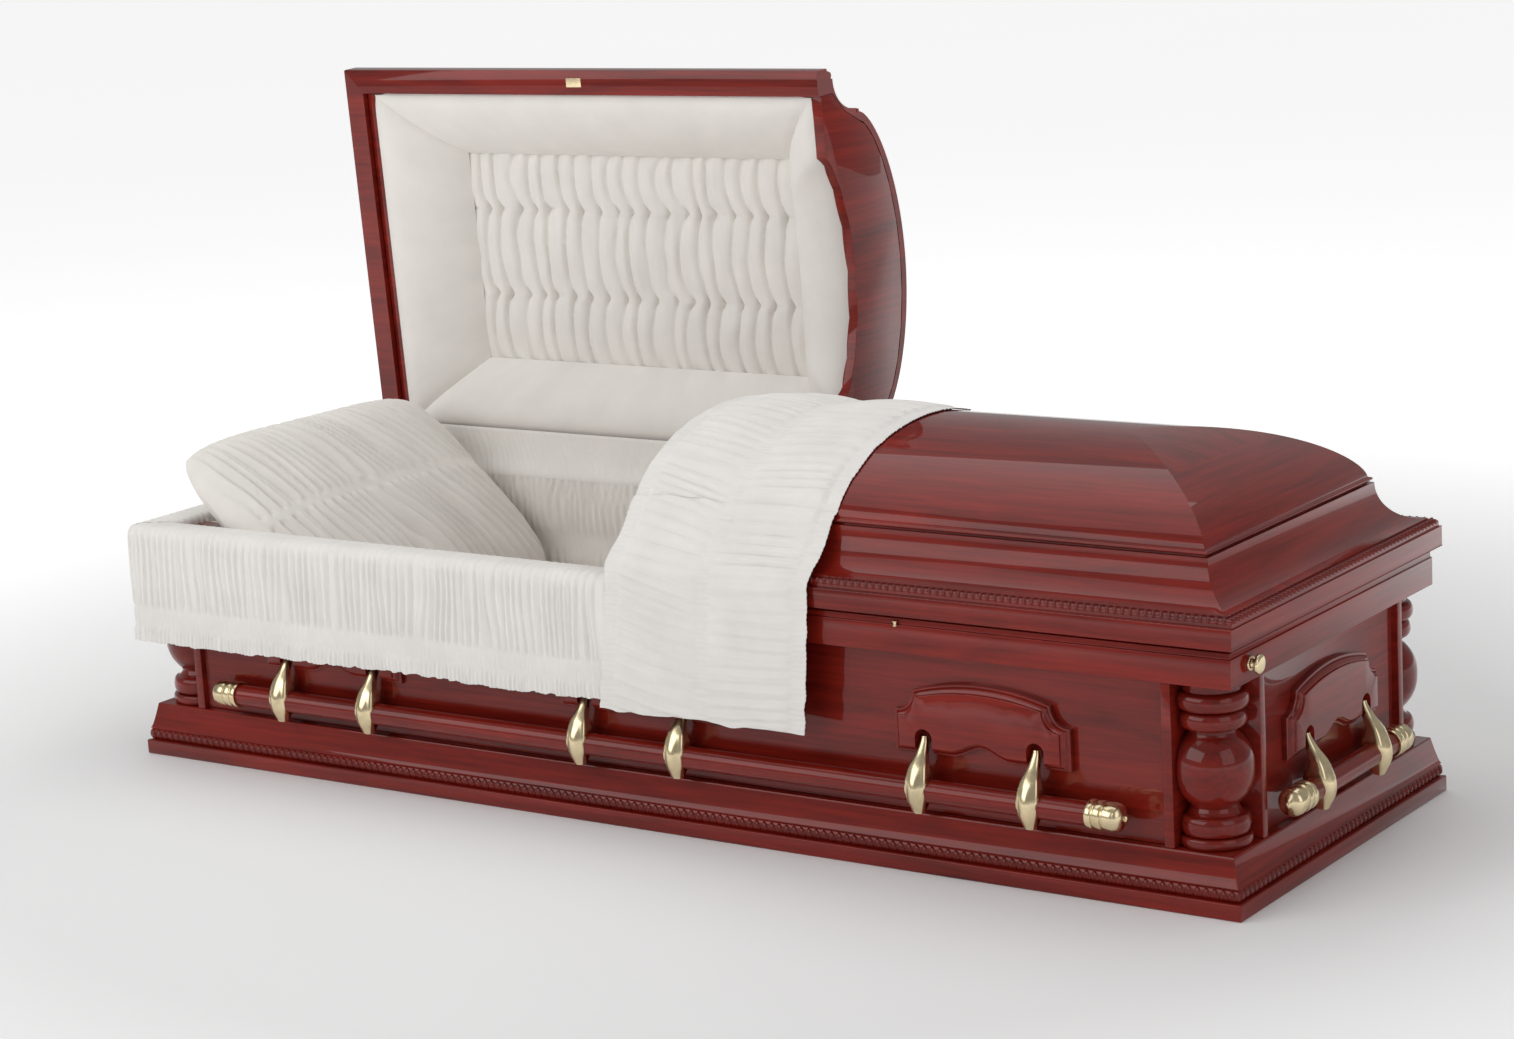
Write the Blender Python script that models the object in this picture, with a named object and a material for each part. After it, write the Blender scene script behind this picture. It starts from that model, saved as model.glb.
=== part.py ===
"""A wooden funeral casket with a split lid, its head half open.

Metres, +Z up. X runs along the length with the head end at -X, the hinges are on the +Y side, and the
origin is the middle of the underside. A setback is a distance inward from the outer edge of the base.
"""
import math

import bmesh
import bpy
from mathutils import Matrix, Vector
from mathutils.geometry import tessellate_polygon

# Overall sizes
LENGTH = 2.10
WIDTH = 0.695
GAP = 0.0003

# Base moulding and floor
BASE_HEIGHT = 0.087
FASCIA_HEIGHT = 0.0240
BASE_BEAD_HEIGHT = 0.0205
BASE_BEAD_PROUD = 0.0020
COVE_SETBACK = 0.0065
LEDGE_SETBACK = 0.0175
FLOOR_THICKNESS = 0.018

# Case walls, corner niches and their trim strips
PANEL_HEIGHT = 0.2417
PANEL_SETBACK = 0.031
WALL_THICKNESS = 0.018
STRIP_SETBACK = 0.019
STRIP_WIDTH = 0.0154
NICHE_DEPTH = 0.1114

# Top rail: frieze, lip and the raised tongue that the lids close on
FRIEZE_HEIGHT = 0.0432
FRIEZE_SETBACK = 0.0125
LIP_HEIGHT = 0.0091
LIP_SETBACK = 0.0145
TONGUE_SETBACK = 0.022
LID_GAP = 0.007

# Corner posts
POST_SETBACK = 0.075
POST_RADIUS = 0.0535
POST_NECK_RADIUS = 0.0345

# Lid profile, from its underside up
RIM_HEIGHT = 0.0309
RIM_OVERHANG = 0.0024
RIM_WIDTH = 0.0424
LID_BEAD_RADIUS = 0.0085
LID_BEAD_SETBACK = 0.0105
FLARE_SETBACK = 0.019
FLARE_START = 0.0456
FLARE_RISE = 0.0633
FLARE_RUN = 0.057
NOSING_SETBACK = 0.0775
NOSING_HEIGHT = 0.0096
CROWN_RISE = 0.1065
LID_WALL = 0.015
LID_SPLIT = -0.020
SPLIT_GAP = 0.0005
END_BOARD_THICKNESS = 0.020
ARCH_SHOULDER = 0.008
ARCH_RISE = 0.062
ARCH_HALF_WIDTH = 0.2035

# Hinges
PIVOT_OUT = 0.0075
PIVOT_ABOVE_LID = 0.020
OPEN_ANGLE = 86.9
BARREL_RADIUS = 0.003
LEAF_THICKNESS = 0.0015
HINGE_END_MARGIN = 0.045
HINGE_KNUCKLES = 3

# Handle plates
PLATE_FROM_END = 0.424
PLATE_HALF_WIDTH = 0.148
PLATE_FRONT_SETBACK = 0.013
PLATE_DROP = 0.020
PLATE_SHOULDER = 0.043
PLATE_NOTCH_HALF_WIDTH = 0.116
PLATE_NOTCH_RISE = 0.075
PLATE_CROWN_RISE = 0.093
PLATE_MOULDING = 0.0145
KEYHOLE_RADIUS = 0.013
KEYHOLE_RISE = 0.005
HUMP_HALF_WIDTH = 0.051
HUMP_RISE = 0.016

# Swing handles
ARM_PIVOT_SETBACK = 0.021
ARM_PIVOT_HEIGHT = 0.198
ARM_SPACING = 0.1886
BAR_DROP = 0.0695
BAR_OUT = 0.021
BAR_RADIUS = 0.0177
BAR_FROM_END = 0.173
END_BAR_HALF_LENGTH = 0.200
TIP_RADIUS = 0.022
TIP_LENGTH = 0.061
TIP_WALL = 0.014
BAR_SIDES = 12

# Locking knob
KNOB_ASIDE = 0.070
KNOB_DROP = 0.0170
KNOB_RADIUS = 0.0145
KNOB_REACH = 0.020

# Soft parts
LINING_THICKNESS = 0.012
BED_HEIGHT = 0.180
SKIRT_THICKNESS = 0.010
SKIRT_OUT = 0.0055
SKIRT_DROP = 0.176
SKIRT_RISE = 0.022
SKIRT_BACK_MARGIN = 0.032
THROW_THICKNESS = 0.005
THROW_WIDTH = 0.375
THROW_DROP = 0.191
THROW_SLANT = 0.025
THROW_BEHIND_MIDDLE = 0.13
PILLOW_LENGTH = 0.42
PILLOW_WIDTH = 0.55
PILLOW_THICKNESS = 0.15
PILLOW_SLOPE = 42.0
PILLOW_FROM_END = 0.245
PILLOW_CENTRE_HEIGHT = 0.374
ROLL_HEAD_WIDTH = 0.142
ROLL_SPLIT_WIDTH = 0.090
ROLL_SIDE_WIDTH = 0.107
ROLL_DEPTH = 0.070
ROLL_THICKNESS = 0.012
ROLL_BULGE = 0.014
PUCKER_THICKNESS = 0.016
BATTEN_WIDTH = 0.022

# Heights and places worked out from the sizes above
HALF_X = LENGTH / 2
HALF_Y = WIDTH / 2
CASE_BOTTOM = BASE_HEIGHT + GAP
CASE_TOP = BASE_HEIGHT + PANEL_HEIGHT
RAIL_BOTTOM = CASE_TOP + GAP
FRIEZE_TOP = CASE_TOP + FRIEZE_HEIGHT
RAIL_TOP = FRIEZE_TOP + LIP_HEIGHT
LID_BOTTOM = RAIL_TOP + LID_GAP
NOSING_BOTTOM = LID_BOTTOM + FLARE_START + FLARE_RISE
CROWN_START = NOSING_BOTTOM + NOSING_HEIGHT
LID_TOP = CROWN_START + CROWN_RISE
INNER_X = HALF_X - PANEL_SETBACK - WALL_THICKNESS
INNER_Y = HALF_Y - PANEL_SETBACK - WALL_THICKNESS
NICHE_INNER = NICHE_DEPTH + WALL_THICKNESS
RIM_INNER_SETBACK = RIM_WIDTH - RIM_OVERHANG
PIVOT_Y = HALF_Y + PIVOT_OUT
PIVOT_Z = LID_BOTTOM + PIVOT_ABOVE_LID

COLOURS = {
    "cherry_wood": ((0.20, 0.022, 0.014), 0.22, 0.0),
    "antique_brass": ((0.52, 0.40, 0.20), 0.30, 1.0),
    "ivory_cloth": ((0.80, 0.77, 0.71), 0.85, 0.0),
}


def material(name):
    found = bpy.data.materials.get(name)
    if found:
        return found
    colour, roughness, metallic = COLOURS[name]
    made = bpy.data.materials.new(name)
    made.use_nodes = True
    shader = made.node_tree.nodes["Principled BSDF"]
    shader.inputs["Base Color"].default_value = (*colour, 1.0)
    shader.inputs["Roughness"].default_value = roughness
    shader.inputs["Metallic"].default_value = metallic
    return made


def mesh_of(name, points, faces):
    """One closed mesh from points and faces, with doubled points merged and faces turned outward."""
    body = bmesh.new()
    corners = [body.verts.new(point) for point in points]
    for face in faces:
        distinct = list(dict.fromkeys(face))
        if len(distinct) > 2:
            body.faces.new([corners[index] for index in distinct])
    bmesh.ops.remove_doubles(body, verts=body.verts, dist=1e-6)
    bmesh.ops.dissolve_degenerate(body, edges=body.edges, dist=1e-7)
    bmesh.ops.recalc_face_normals(body, faces=body.faces)
    mesh = bpy.data.meshes.new(name)
    body.to_mesh(mesh)
    body.free()
    return mesh


def place(name, mesh, finish, location=(0.0, 0.0, 0.0), turn=0.0, parent=None, smooth_angle=None):
    """Put a mesh in the scene as one named piece; turn is in degrees about Z."""
    if not mesh.materials:
        mesh.materials.append(material(finish))
    if smooth_angle:
        mesh.shade_smooth()
        mesh.set_sharp_from_angle(angle=math.radians(smooth_angle))
    piece = bpy.data.objects.new(name, mesh)
    bpy.context.scene.collection.objects.link(piece)
    piece.location = location
    piece.rotation_euler.z = math.radians(turn)
    piece.parent = parent
    return piece


def axis_empty(name, location):
    """An empty on a joint's axis, which carries the pieces that turn about it."""
    empty = bpy.data.objects.new(name, None)
    bpy.context.scene.collection.objects.link(empty)
    empty.location = location
    return empty


def combined(name, first, second, operation):
    """The mesh that a Boolean of two meshes leaves."""
    one = bpy.data.objects.new(name, first)
    two = bpy.data.objects.new(name + "_tool", second)
    for helper in (one, two):
        bpy.context.scene.collection.objects.link(helper)
    cut = one.modifiers.new("cut", "BOOLEAN")
    cut.operation = operation
    cut.solver = "EXACT"
    cut.object = two
    bpy.context.view_layer.update()
    result = bpy.data.meshes.new_from_object(one.evaluated_get(bpy.context.evaluated_depsgraph_get()))
    for helper in (one, two):
        bpy.data.objects.remove(helper)
    return result


def flat_cap(loops, first_indices):
    """Triangles that fill an outline, and any outlines cut out of it, as indices of the whole mesh."""
    lookup = [index + first for loop, first in zip(loops, first_indices) for index in range(len(loop))]
    triangles = tessellate_polygon([[Vector(point) for point in loop] for loop in loops])
    return [[lookup[index] for index in triangle] for triangle in triangles]


def ring_faces(first, second, count, closed=True):
    """Quads between two loops of points of the same count."""
    last = count if closed else count - 1
    return [[first + i, first + (i + 1) % count, second + (i + 1) % count, second + i] for i in range(last)]


def prism(name, outline, bottom, top, hole=None):
    """A flat outline in X and Y pulled up from bottom to top, with a hole right through where one is given."""
    loops = [outline] + ([hole] if hole else [])
    points, faces, starts = [], [], []
    for height in (bottom, top):
        for loop in loops:
            starts.append(len(points))
            points += [(x, y, height) for x, y in loop]
    for index, loop in enumerate(loops):
        faces += ring_faces(starts[index], starts[index + len(loops)], len(loop))
    for level, height in ((0, bottom), (1, top)):
        capped = [[(x, y, height) for x, y in loop] for loop in loops]
        faces += flat_cap(capped, starts[level * len(loops):(level + 1) * len(loops)])
    return mesh_of(name, points, faces)


def moulded_frame(name, profile, opening, floor=None):
    """A rectangle with a moulded outer edge of (setback, height) points, open inside down to its floor."""
    points, faces = [], []
    for setback, height in profile:
        x, y = HALF_X - setback, HALF_Y - setback
        points += [(-x, -y, height), (x, -y, height), (x, y, height), (-x, y, height)]
    for level in range(len(profile) - 1):
        faces += ring_faces(4 * level, 4 * level + 4, 4)
    top = profile[-1][1]
    low = profile[0][1] if floor is None else floor
    upper_hole = len(points)
    points += [(x, y, top) for x, y in opening]
    lower_hole = len(points)
    points += [(x, y, low) for x, y in opening]
    faces += ring_faces(upper_hole, lower_hole, len(opening))
    top_loops = [points[upper_hole - 4:upper_hole], points[upper_hole:lower_hole]]
    faces += flat_cap(top_loops, [upper_hole - 4, upper_hole])
    if floor is None:
        faces += flat_cap([points[0:4], points[lower_hole:]], [0, lower_hole])
    else:
        faces.append([0, 1, 2, 3])
        faces += flat_cap([points[lower_hole:]], [lower_hole])
    return mesh_of(name, points, faces)


def turned(name, profile, sides, along="Z"):
    """A lathe-turned closed body from (radius, distance along the axis) points that start and end on the axis."""
    points, faces = [], []
    for radius, reach in profile:
        for step in range(sides):
            angle = 2 * math.pi * (step + 0.5) / sides
            across, up = radius * math.cos(angle), radius * math.sin(angle)
            points.append((across, up, reach) if along == "Z" else (reach, across, up))
    for level in range(len(profile) - 1):
        faces += ring_faces(level * sides, (level + 1) * sides, sides)
    return mesh_of(name, points, faces)


def notched_rectangle(inset=0.0):
    """The case's inner outline, which steps in round the corner niches, moved inward by inset."""
    x, y = INNER_X - inset, INNER_Y - inset
    near_x, near_y = HALF_X - NICHE_INNER - inset, HALF_Y - NICHE_INNER - inset
    return four_corners([(near_x, y), (near_x, near_y), (x, near_y)])


def four_corners(corner):
    """Repeats one corner's points, given from the long side to the end, round all four corners."""
    outline = [(x, -y) for x, y in corner]
    outline += [(x, y) for x, y in reversed(corner)]
    outline += [(-x, y) for x, y in corner]
    outline += [(-x, -y) for x, y in reversed(corner)]
    return outline


def build_base():
    bead_top = FASCIA_HEIGHT + BASE_BEAD_HEIGHT
    bead_middle = FASCIA_HEIGHT + BASE_BEAD_HEIGHT / 2
    profile = [(0.0, 0.0), (0.0, FASCIA_HEIGHT), (BASE_BEAD_PROUD + 0.0015, FASCIA_HEIGHT + 0.001)]
    for degrees in (-55, -20, 20, 55):
        angle = math.radians(degrees)
        reach = BASE_BEAD_HEIGHT / 2
        profile.append((BASE_BEAD_PROUD + 0.45 * reach * (1 - math.cos(angle)), bead_middle + reach * math.sin(angle)))
    cove_rise = BASE_HEIGHT - bead_top
    for step in range(5):
        share = step / 4
        setback = COVE_SETBACK + (LEDGE_SETBACK - COVE_SETBACK) * share ** 0.8
        profile.append((setback, bead_top + 0.0005 + (cove_rise - 0.0005) * share))
    place("base", moulded_frame("base", profile, notched_rectangle(), FLOOR_THICKNESS), "cherry_wood")


def build_case():
    inner_edge = NICHE_DEPTH + STRIP_WIDTH
    corner = [
        (HALF_X - inner_edge, HALF_Y - PANEL_SETBACK), (HALF_X - inner_edge, HALF_Y - STRIP_SETBACK),
        (HALF_X - NICHE_DEPTH, HALF_Y - STRIP_SETBACK), (HALF_X - NICHE_DEPTH, HALF_Y - NICHE_DEPTH),
        (HALF_X - STRIP_SETBACK, HALF_Y - NICHE_DEPTH), (HALF_X - STRIP_SETBACK, HALF_Y - inner_edge),
        (HALF_X - PANEL_SETBACK, HALF_Y - inner_edge),
    ]
    place("case", prism("case", four_corners(corner), CASE_BOTTOM, CASE_TOP, notched_rectangle()), "cherry_wood")


def build_top_rail():
    profile = [
        (FRIEZE_SETBACK, RAIL_BOTTOM), (FRIEZE_SETBACK, FRIEZE_TOP), (LIP_SETBACK, FRIEZE_TOP + GAP),
        (LIP_SETBACK, RAIL_TOP), (TONGUE_SETBACK, RAIL_TOP), (TONGUE_SETBACK, LID_BOTTOM - GAP),
    ]
    place("top_rail", moulded_frame("top_rail", profile, notched_rectangle()), "cherry_wood")


def rounded(middle, half_height, radius, neck, steps=3):
    """A turned ring's edge as (radius, height) points round from its lower to its upper side."""
    found = []
    for step in range(steps):
        angle = math.pi * ((step + 0.5) / steps - 0.5)
        found.append((neck + (radius - neck) * math.cos(angle) ** 0.7, middle + half_height * math.sin(angle)))
    return found


def post_profile():
    """The turned post from its foot ring up; the upper rings keep their distance from the top rail."""
    height = PANEL_HEIGHT - 2 * GAP
    neck = POST_NECK_RADIUS
    ring_neck = POST_RADIUS - 0.009
    profile = [(0.0, 0.0), (POST_RADIUS - 0.003, 0.0)]
    profile += rounded(0.008, 0.008, POST_RADIUS, ring_neck, 2)
    profile += rounded(0.031, 0.0145, POST_RADIUS - 0.0025, ring_neck - 0.003)
    profile += [(neck + 0.006, 0.048), (neck, 0.055)]
    ball_bottom, ball_top = 0.057, height - 0.079
    ball_middle = ball_bottom + 0.52 * (ball_top - ball_bottom)
    for step in range(1, 7):
        share = step / 7
        level = ball_bottom + (ball_top - ball_bottom) * share
        reach = (level - ball_middle) / (ball_top - ball_middle if level > ball_middle else ball_middle - ball_bottom)
        profile.append((neck + (POST_RADIUS - neck) * (1 - abs(reach) ** 2.3), level))
    profile += [(neck, ball_top), (neck, height - 0.073)]
    profile += rounded(height - 0.058, 0.0135, POST_RADIUS - 0.0045, neck + 0.002)
    profile += rounded(height - 0.030, 0.0135, POST_RADIUS - 0.0005, ring_neck - 0.003)
    profile += [(ring_neck - 0.002, height - 0.0155), (ring_neck - 0.002, height), (0.0, height)]
    return profile


def build_posts():
    """Four turned posts, each cut square behind so that it stands against its niche."""
    turned_post = turned("post", post_profile(), 12)
    reach = NICHE_DEPTH - POST_SETBACK - GAP
    far = 2 * POST_RADIUS
    square = [(-reach, -far), (far, -far), (far, reach), (-reach, reach)]
    shape = combined("post", turned_post, prism("post_square", square, -GAP, PANEL_HEIGHT), "INTERSECT")
    x, y = HALF_X - POST_SETBACK, HALF_Y - POST_SETBACK
    places = {"front_foot": (x, -y, 0), "back_foot": (x, y, 90), "back_head": (-x, y, 180), "front_head": (-x, -y, 270)}
    for corner, (along, across, turn) in places.items():
        place("post_" + corner, shape, "cherry_wood", (along, across, CASE_BOTTOM), turn, smooth_angle=35)


def lid_outer_profile():
    """The lid's outer (setback, height) points from the bottom of its rim to the ridge."""
    rim_top = LID_BOTTOM + RIM_HEIGHT
    flare_bottom = LID_BOTTOM + FLARE_START
    edge = 0.001
    profile = [(-RIM_OVERHANG + edge, LID_BOTTOM), (-RIM_OVERHANG, LID_BOTTOM + edge),
               (-RIM_OVERHANG, rim_top - edge), (-RIM_OVERHANG + edge, rim_top),
               (LID_BEAD_SETBACK - LID_BEAD_RADIUS + 0.0003, rim_top)]
    bead_height = rim_top + 0.0062
    for degrees in (165, 125, 90, 55):
        angle = math.radians(degrees)
        profile.append((LID_BEAD_SETBACK + LID_BEAD_RADIUS * math.cos(angle),
                        bead_height + LID_BEAD_RADIUS * math.sin(angle)))
    for step in range(7):
        share = step / 6
        profile.append((FLARE_SETBACK + FLARE_RUN * math.sin(share * math.pi / 2) ** 0.93,
                        flare_bottom + FLARE_RISE * (1 - math.cos(share * math.pi / 2)) ** 0.93))
    groove = NOSING_SETBACK + 0.0065
    profile += [(groove, NOSING_BOTTOM + 0.0006), (groove, NOSING_BOTTOM + 0.0026),
                (NOSING_SETBACK + 0.0015, NOSING_BOTTOM + 0.0032), (NOSING_SETBACK, NOSING_BOTTOM + 0.0056),
                (NOSING_SETBACK + 0.0018, NOSING_BOTTOM + 0.0084)]
    return profile + crown_points(NOSING_SETBACK + 0.006, CROWN_START, LID_TOP, 12)


def crown_points(start_setback, start_height, top, steps):
    """The arched crown from its foot to the ridge, steeper at the foot than a circle."""
    run = HALF_Y - start_setback
    found = []
    for step in range(steps + 1):
        angle = math.pi / 2 * step / steps
        found.append((HALF_Y - run * math.cos(angle), start_height + (top - start_height) * math.sin(angle) ** (4 / 3)))
    return found


def lid_inner_profile():
    """The lid's inner (setback, height) points, one wall thickness inside the outer ones."""
    flare_bottom = LID_BOTTOM + FLARE_START
    inner = RIM_INNER_SETBACK
    return [(inner, LID_BOTTOM), (inner, flare_bottom - 0.004),
            (inner + 0.6 * FLARE_RUN, flare_bottom + 0.45 * FLARE_RISE)] + crown_points(
                NOSING_SETBACK + 0.006 + LID_WALL, CROWN_START, LID_TOP - LID_WALL, 6)


def arch_outline(profile):
    """A lid profile and its mirror image as one run of (y, z) points from the front rim to the back rim."""
    front = [(setback - HALF_Y, height) for setback, height in profile]
    return front + [(-y, z) for y, z in reversed(front[:-1])]


def build_lid_shell(name, end):
    """Half of the lid: end is -1 at the head and +1 at the foot."""
    split = LID_SPLIT + end * SPLIT_GAP
    outer, inner = lid_outer_profile(), lid_inner_profile()
    loop = outer + inner[::-1]
    points, faces = [], []
    for setback, height in loop:
        x, y = end * (HALF_X - setback), HALF_Y - setback
        points += [(split, -y, height), (x, -y, height), (x, y, height), (split, y, height)]
    ridge = len(outer) - 1
    for level in range(len(loop)):
        if level != ridge:
            faces += ring_faces(4 * level, 4 * ((level + 1) % len(loop)), 4, closed=False)
    outer_arch = [4 * level for level in range(len(outer))] + [4 * level + 3 for level in range(ridge - 1, -1, -1)]
    inner_arch = [4 * level for level in range(len(outer), len(loop))]
    inner_arch = [index + 3 for index in inner_arch[::-1]][:-1] + inner_arch
    outline = outer_arch + inner_arch
    flat = [Vector((points[index][1], points[index][2], 0.0)) for index in outline]
    faces += [[outline[index] for index in triangle] for triangle in tessellate_polygon([flat])]
    return mesh_of(name, points, faces)


def arch_height(y):
    """The lower edge of an end board at y: flat shoulders and an arch between them."""
    share = min(1.0, abs(y) / ARCH_HALF_WIDTH)
    return LID_BOTTOM + ARCH_SHOULDER + ARCH_RISE * (1 - share * share) ** 0.75


def build_end_board(name, end):
    """The board that closes a lid half at the split, inside its shell, with an arched cut-out below."""
    fit = 2 * GAP
    profile = [(RIM_INNER_SETBACK + fit, LID_BOTTOM + ARCH_SHOULDER)]
    profile += [(setback + fit, height - fit) for setback, height in lid_inner_profile()[1:]]
    upper = arch_outline(profile[:-1] + [(HALF_Y, profile[-1][1])])
    lower = [(ARCH_HALF_WIDTH * math.cos(math.pi * step / 8)) for step in range(9)]
    outline = upper + [(y, arch_height(y)) for y in lower]
    face_x = LID_SPLIT + end * SPLIT_GAP
    points = [(x, y, z) for x in (face_x, face_x + end * END_BOARD_THICKNESS) for y, z in outline]
    count = len(outline)
    faces = ring_faces(0, count, count)
    for first in (0, count):
        triangles = tessellate_polygon([[Vector((y, z, 0.0)) for y, z in outline]])
        faces += [[first + index for index in triangle] for triangle in triangles]
    return mesh_of(name, points, faces)


def roll_station(share_x, share_y, end):
    """Outer and inner edge of the padded border at a place round the lid, as shares from -1 to 1."""
    head = end * (HALF_X - RIM_INNER_SETBACK - BATTEN_WIDTH)
    split = LID_SPLIT + end * (SPLIT_GAP + END_BOARD_THICKNESS + GAP)
    outer_x = (head + split) / 2 + share_x * abs(head - split) / 2
    outer_y = share_y * (HALF_Y - RIM_INNER_SETBACK - 0.004)
    inner_low = min(head, split) + (ROLL_HEAD_WIDTH if end < 0 else ROLL_SPLIT_WIDTH)
    inner_high = max(head, split) - (ROLL_SPLIT_WIDTH if end < 0 else ROLL_HEAD_WIDTH)
    inner_x = (inner_low + inner_high) / 2 + share_x * (inner_high - inner_low) / 2
    inner_y = share_y * (HALF_Y - RIM_INNER_SETBACK - 0.004 - ROLL_SIDE_WIDTH)
    at_split = share_x == -end
    outer_z = (arch_height(outer_y) + GAP if at_split else LID_BOTTOM + ARCH_SHOULDER)
    return (outer_x, outer_y, outer_z), (inner_x, inner_y, LID_BOTTOM + ROLL_DEPTH)


def border_shares():
    """Places round a rectangle from -1 to 1 each way, closer together than its corners."""
    steps = [-1.0, -0.5, 0.0, 0.5]
    run = [(share, -1.0) for share in steps] + [(1.0, share) for share in steps]
    return run + [(-x, -y) for x, y in run]


def build_rolls(name, end, filled):
    """The padded border of a lid's lining; filled closes it with a flat middle in the same piece."""
    sections = []
    shares = [0.0, 0.5, 1.0]
    for share_x, share_y in border_shares():
        outer, inner = roll_station(share_x, share_y, end)
        low, high = [], []
        for share in shares:
            x, y, z = (a + (b - a) * share for a, b in zip(outer, inner))
            low.append((x, y, max(LID_BOTTOM + 0.003, z - ROLL_BULGE * math.sin(math.pi * share))))
            high.append((x, y, z + ROLL_THICKNESS))
        sections.append(low + high[::-1])
    count = len(sections[0])
    points = [point for section in sections for point in section]
    faces = []
    for index in range(len(sections)):
        first, second = index * count, (index + 1) % len(sections) * count
        faces += [[first + i, second + i, second + i + 1, first + i + 1] for i in range(count - 1)]
        faces.append([first + count - 1, second + count - 1, second, first])
    if filled:
        inner_low = len(shares) - 1
        faces = [face for face in faces if not (face[0] % count == inner_low and face[3] % count == inner_low + 1)]
        for level in (inner_low, inner_low + 1):
            faces.append([index * count + level for index in range(len(sections))])
    return mesh_of(name, points, faces)


def build_lids():
    pivot = axis_empty("head_lid_axis", (0.0, PIVOT_Y, PIVOT_Z))
    pivot.rotation_euler.x = math.radians(-OPEN_ANGLE)
    closed = (0.0, -PIVOT_Y, -PIVOT_Z)
    place("head_lid_shell", build_lid_shell("head_lid_shell", -1), "cherry_wood", closed, parent=pivot, smooth_angle=30)
    place("head_lid_end_board", build_end_board("head_lid_end_board", -1), "cherry_wood", closed, parent=pivot)
    place("head_lid_rolls", build_rolls("head_lid_rolls", -1, False), "ivory_cloth", closed, parent=pivot)
    shift = 2 * GAP
    outline = []
    for share_x, share_y in ((-1, -1), (1, -1), (1, 1), (-1, 1)):
        x, y, level = roll_station(share_x, share_y, -1)[1]
        outline.append((x - share_x * shift, y - share_y * shift))
    puckered = prism("head_lid_panel", outline, level - PUCKER_THICKNESS / 4, level + PUCKER_THICKNESS * 3 / 4)
    place("head_lid_panel", puckered, "ivory_cloth", closed, parent=pivot)
    foot_pivot = axis_empty("foot_lid_axis", (0.0, PIVOT_Y, PIVOT_Z))
    for name, mesh, finish in (
            ("foot_lid_shell", build_lid_shell("foot_lid_shell", 1), "cherry_wood"),
            ("foot_lid_end_board", build_end_board("foot_lid_end_board", 1), "cherry_wood"),
            ("foot_lid_lining", build_rolls("foot_lid_lining", 1, True), "ivory_cloth")):
        place(name, mesh, finish, closed, parent=foot_pivot, smooth_angle=30)
    build_hinges(pivot, foot_pivot, closed)


def hinge_intervals(end):
    """The knuckle lengths of one lid's hinge as (start, end) along X."""
    start = LID_SPLIT + end * 0.010
    stop = end * (HALF_X - HINGE_END_MARGIN)
    low, high = min(start, stop), max(start, stop)
    pitch = (high - low) / HINGE_KNUCKLES
    return low, high, [(low + pitch * k, low + pitch * (k + 1)) for k in range(HINGE_KNUCKLES)]


def barrel_and_web(name, start, stop, web):
    """One knuckle: a barrel round the pivot and the strip, as (y, z) points, that joins it to its leaf."""
    barrel = turned(name, [(0.0, start), (BARREL_RADIUS, start), (BARREL_RADIUS, stop), (0.0, stop)], 8, "X")
    barrel.transform(Matrix.Translation((0.0, PIVOT_Y, PIVOT_Z)))
    points = [(x, y, z) for x in (start, stop) for y, z in web]
    count = len(web)
    faces = ring_faces(0, count, count)
    for first in (0, count):
        triangles = tessellate_polygon([[Vector((y, z, 0.0)) for y, z in web]])
        faces += [[first + index for index in triangle] for triangle in triangles]
    return combined(name, barrel, mesh_of(name + "_web", points, faces), "UNION")


def strip_leaf(name, low, high, back, bottom, top):
    """A flat hinge leaf that stands on a wooden face at back."""
    near, far = back + GAP, back + GAP + LEAF_THICKNESS
    return prism(name, [(low, near), (high, near), (high, far), (low, far)], bottom, top)


def build_hinges(head_pivot, foot_pivot, closed):
    """A long strip hinge for each lid: one leaf on the back of the top rail and one on the lid's rim."""
    rail_back = HALF_Y - FRIEZE_SETBACK
    rim_back = HALF_Y + RIM_OVERHANG
    thick = 1.2 * LEAF_THICKNESS
    joint_gap = 0.0006
    body_web = [(rail_back + GAP, FRIEZE_TOP - 0.020), (rail_back + GAP + LEAF_THICKNESS, FRIEZE_TOP - 0.020),
                (rail_back + GAP + LEAF_THICKNESS, FRIEZE_TOP + 0.003), (PIVOT_Y + 0.0005, LID_BOTTOM - 0.004),
                (PIVOT_Y + 0.0010, PIVOT_Z), (PIVOT_Y + 0.0010 - thick, PIVOT_Z),
                (PIVOT_Y + 0.0005 - thick, LID_BOTTOM - 0.003), (rail_back + GAP, FRIEZE_TOP + 0.006)]
    lid_web = [(rim_back + GAP, PIVOT_Z - 0.0008), (PIVOT_Y, PIVOT_Z - 0.0008),
               (PIVOT_Y, PIVOT_Z + 0.0008), (rim_back + GAP, PIVOT_Z + 0.0008)]
    for lid, end, pivot in (("head", -1, head_pivot), ("foot", 1, foot_pivot)):
        low, high, knuckles = hinge_intervals(end)
        body = strip_leaf(lid + "_body", low, high, rail_back, CASE_TOP + 0.008, FRIEZE_TOP)
        cover = strip_leaf(lid + "_cover", low, high, rim_back, LID_BOTTOM + 0.003, LID_BOTTOM + RIM_HEIGHT - 0.003)
        for index, (start, stop) in enumerate(knuckles):
            web = lid_web if index % 2 else body_web
            knuckle = barrel_and_web("knuckle", start + joint_gap / 2, stop - joint_gap / 2, web)
            if index % 2:
                cover = combined("cover", cover, knuckle, "UNION")
            else:
                body = combined("body", body, knuckle, "UNION")
        place(lid + "_hinge_body_leaf", body, "antique_brass")
        place(lid + "_hinge_lid_leaf", cover, "antique_brass", closed, parent=pivot)


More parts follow.
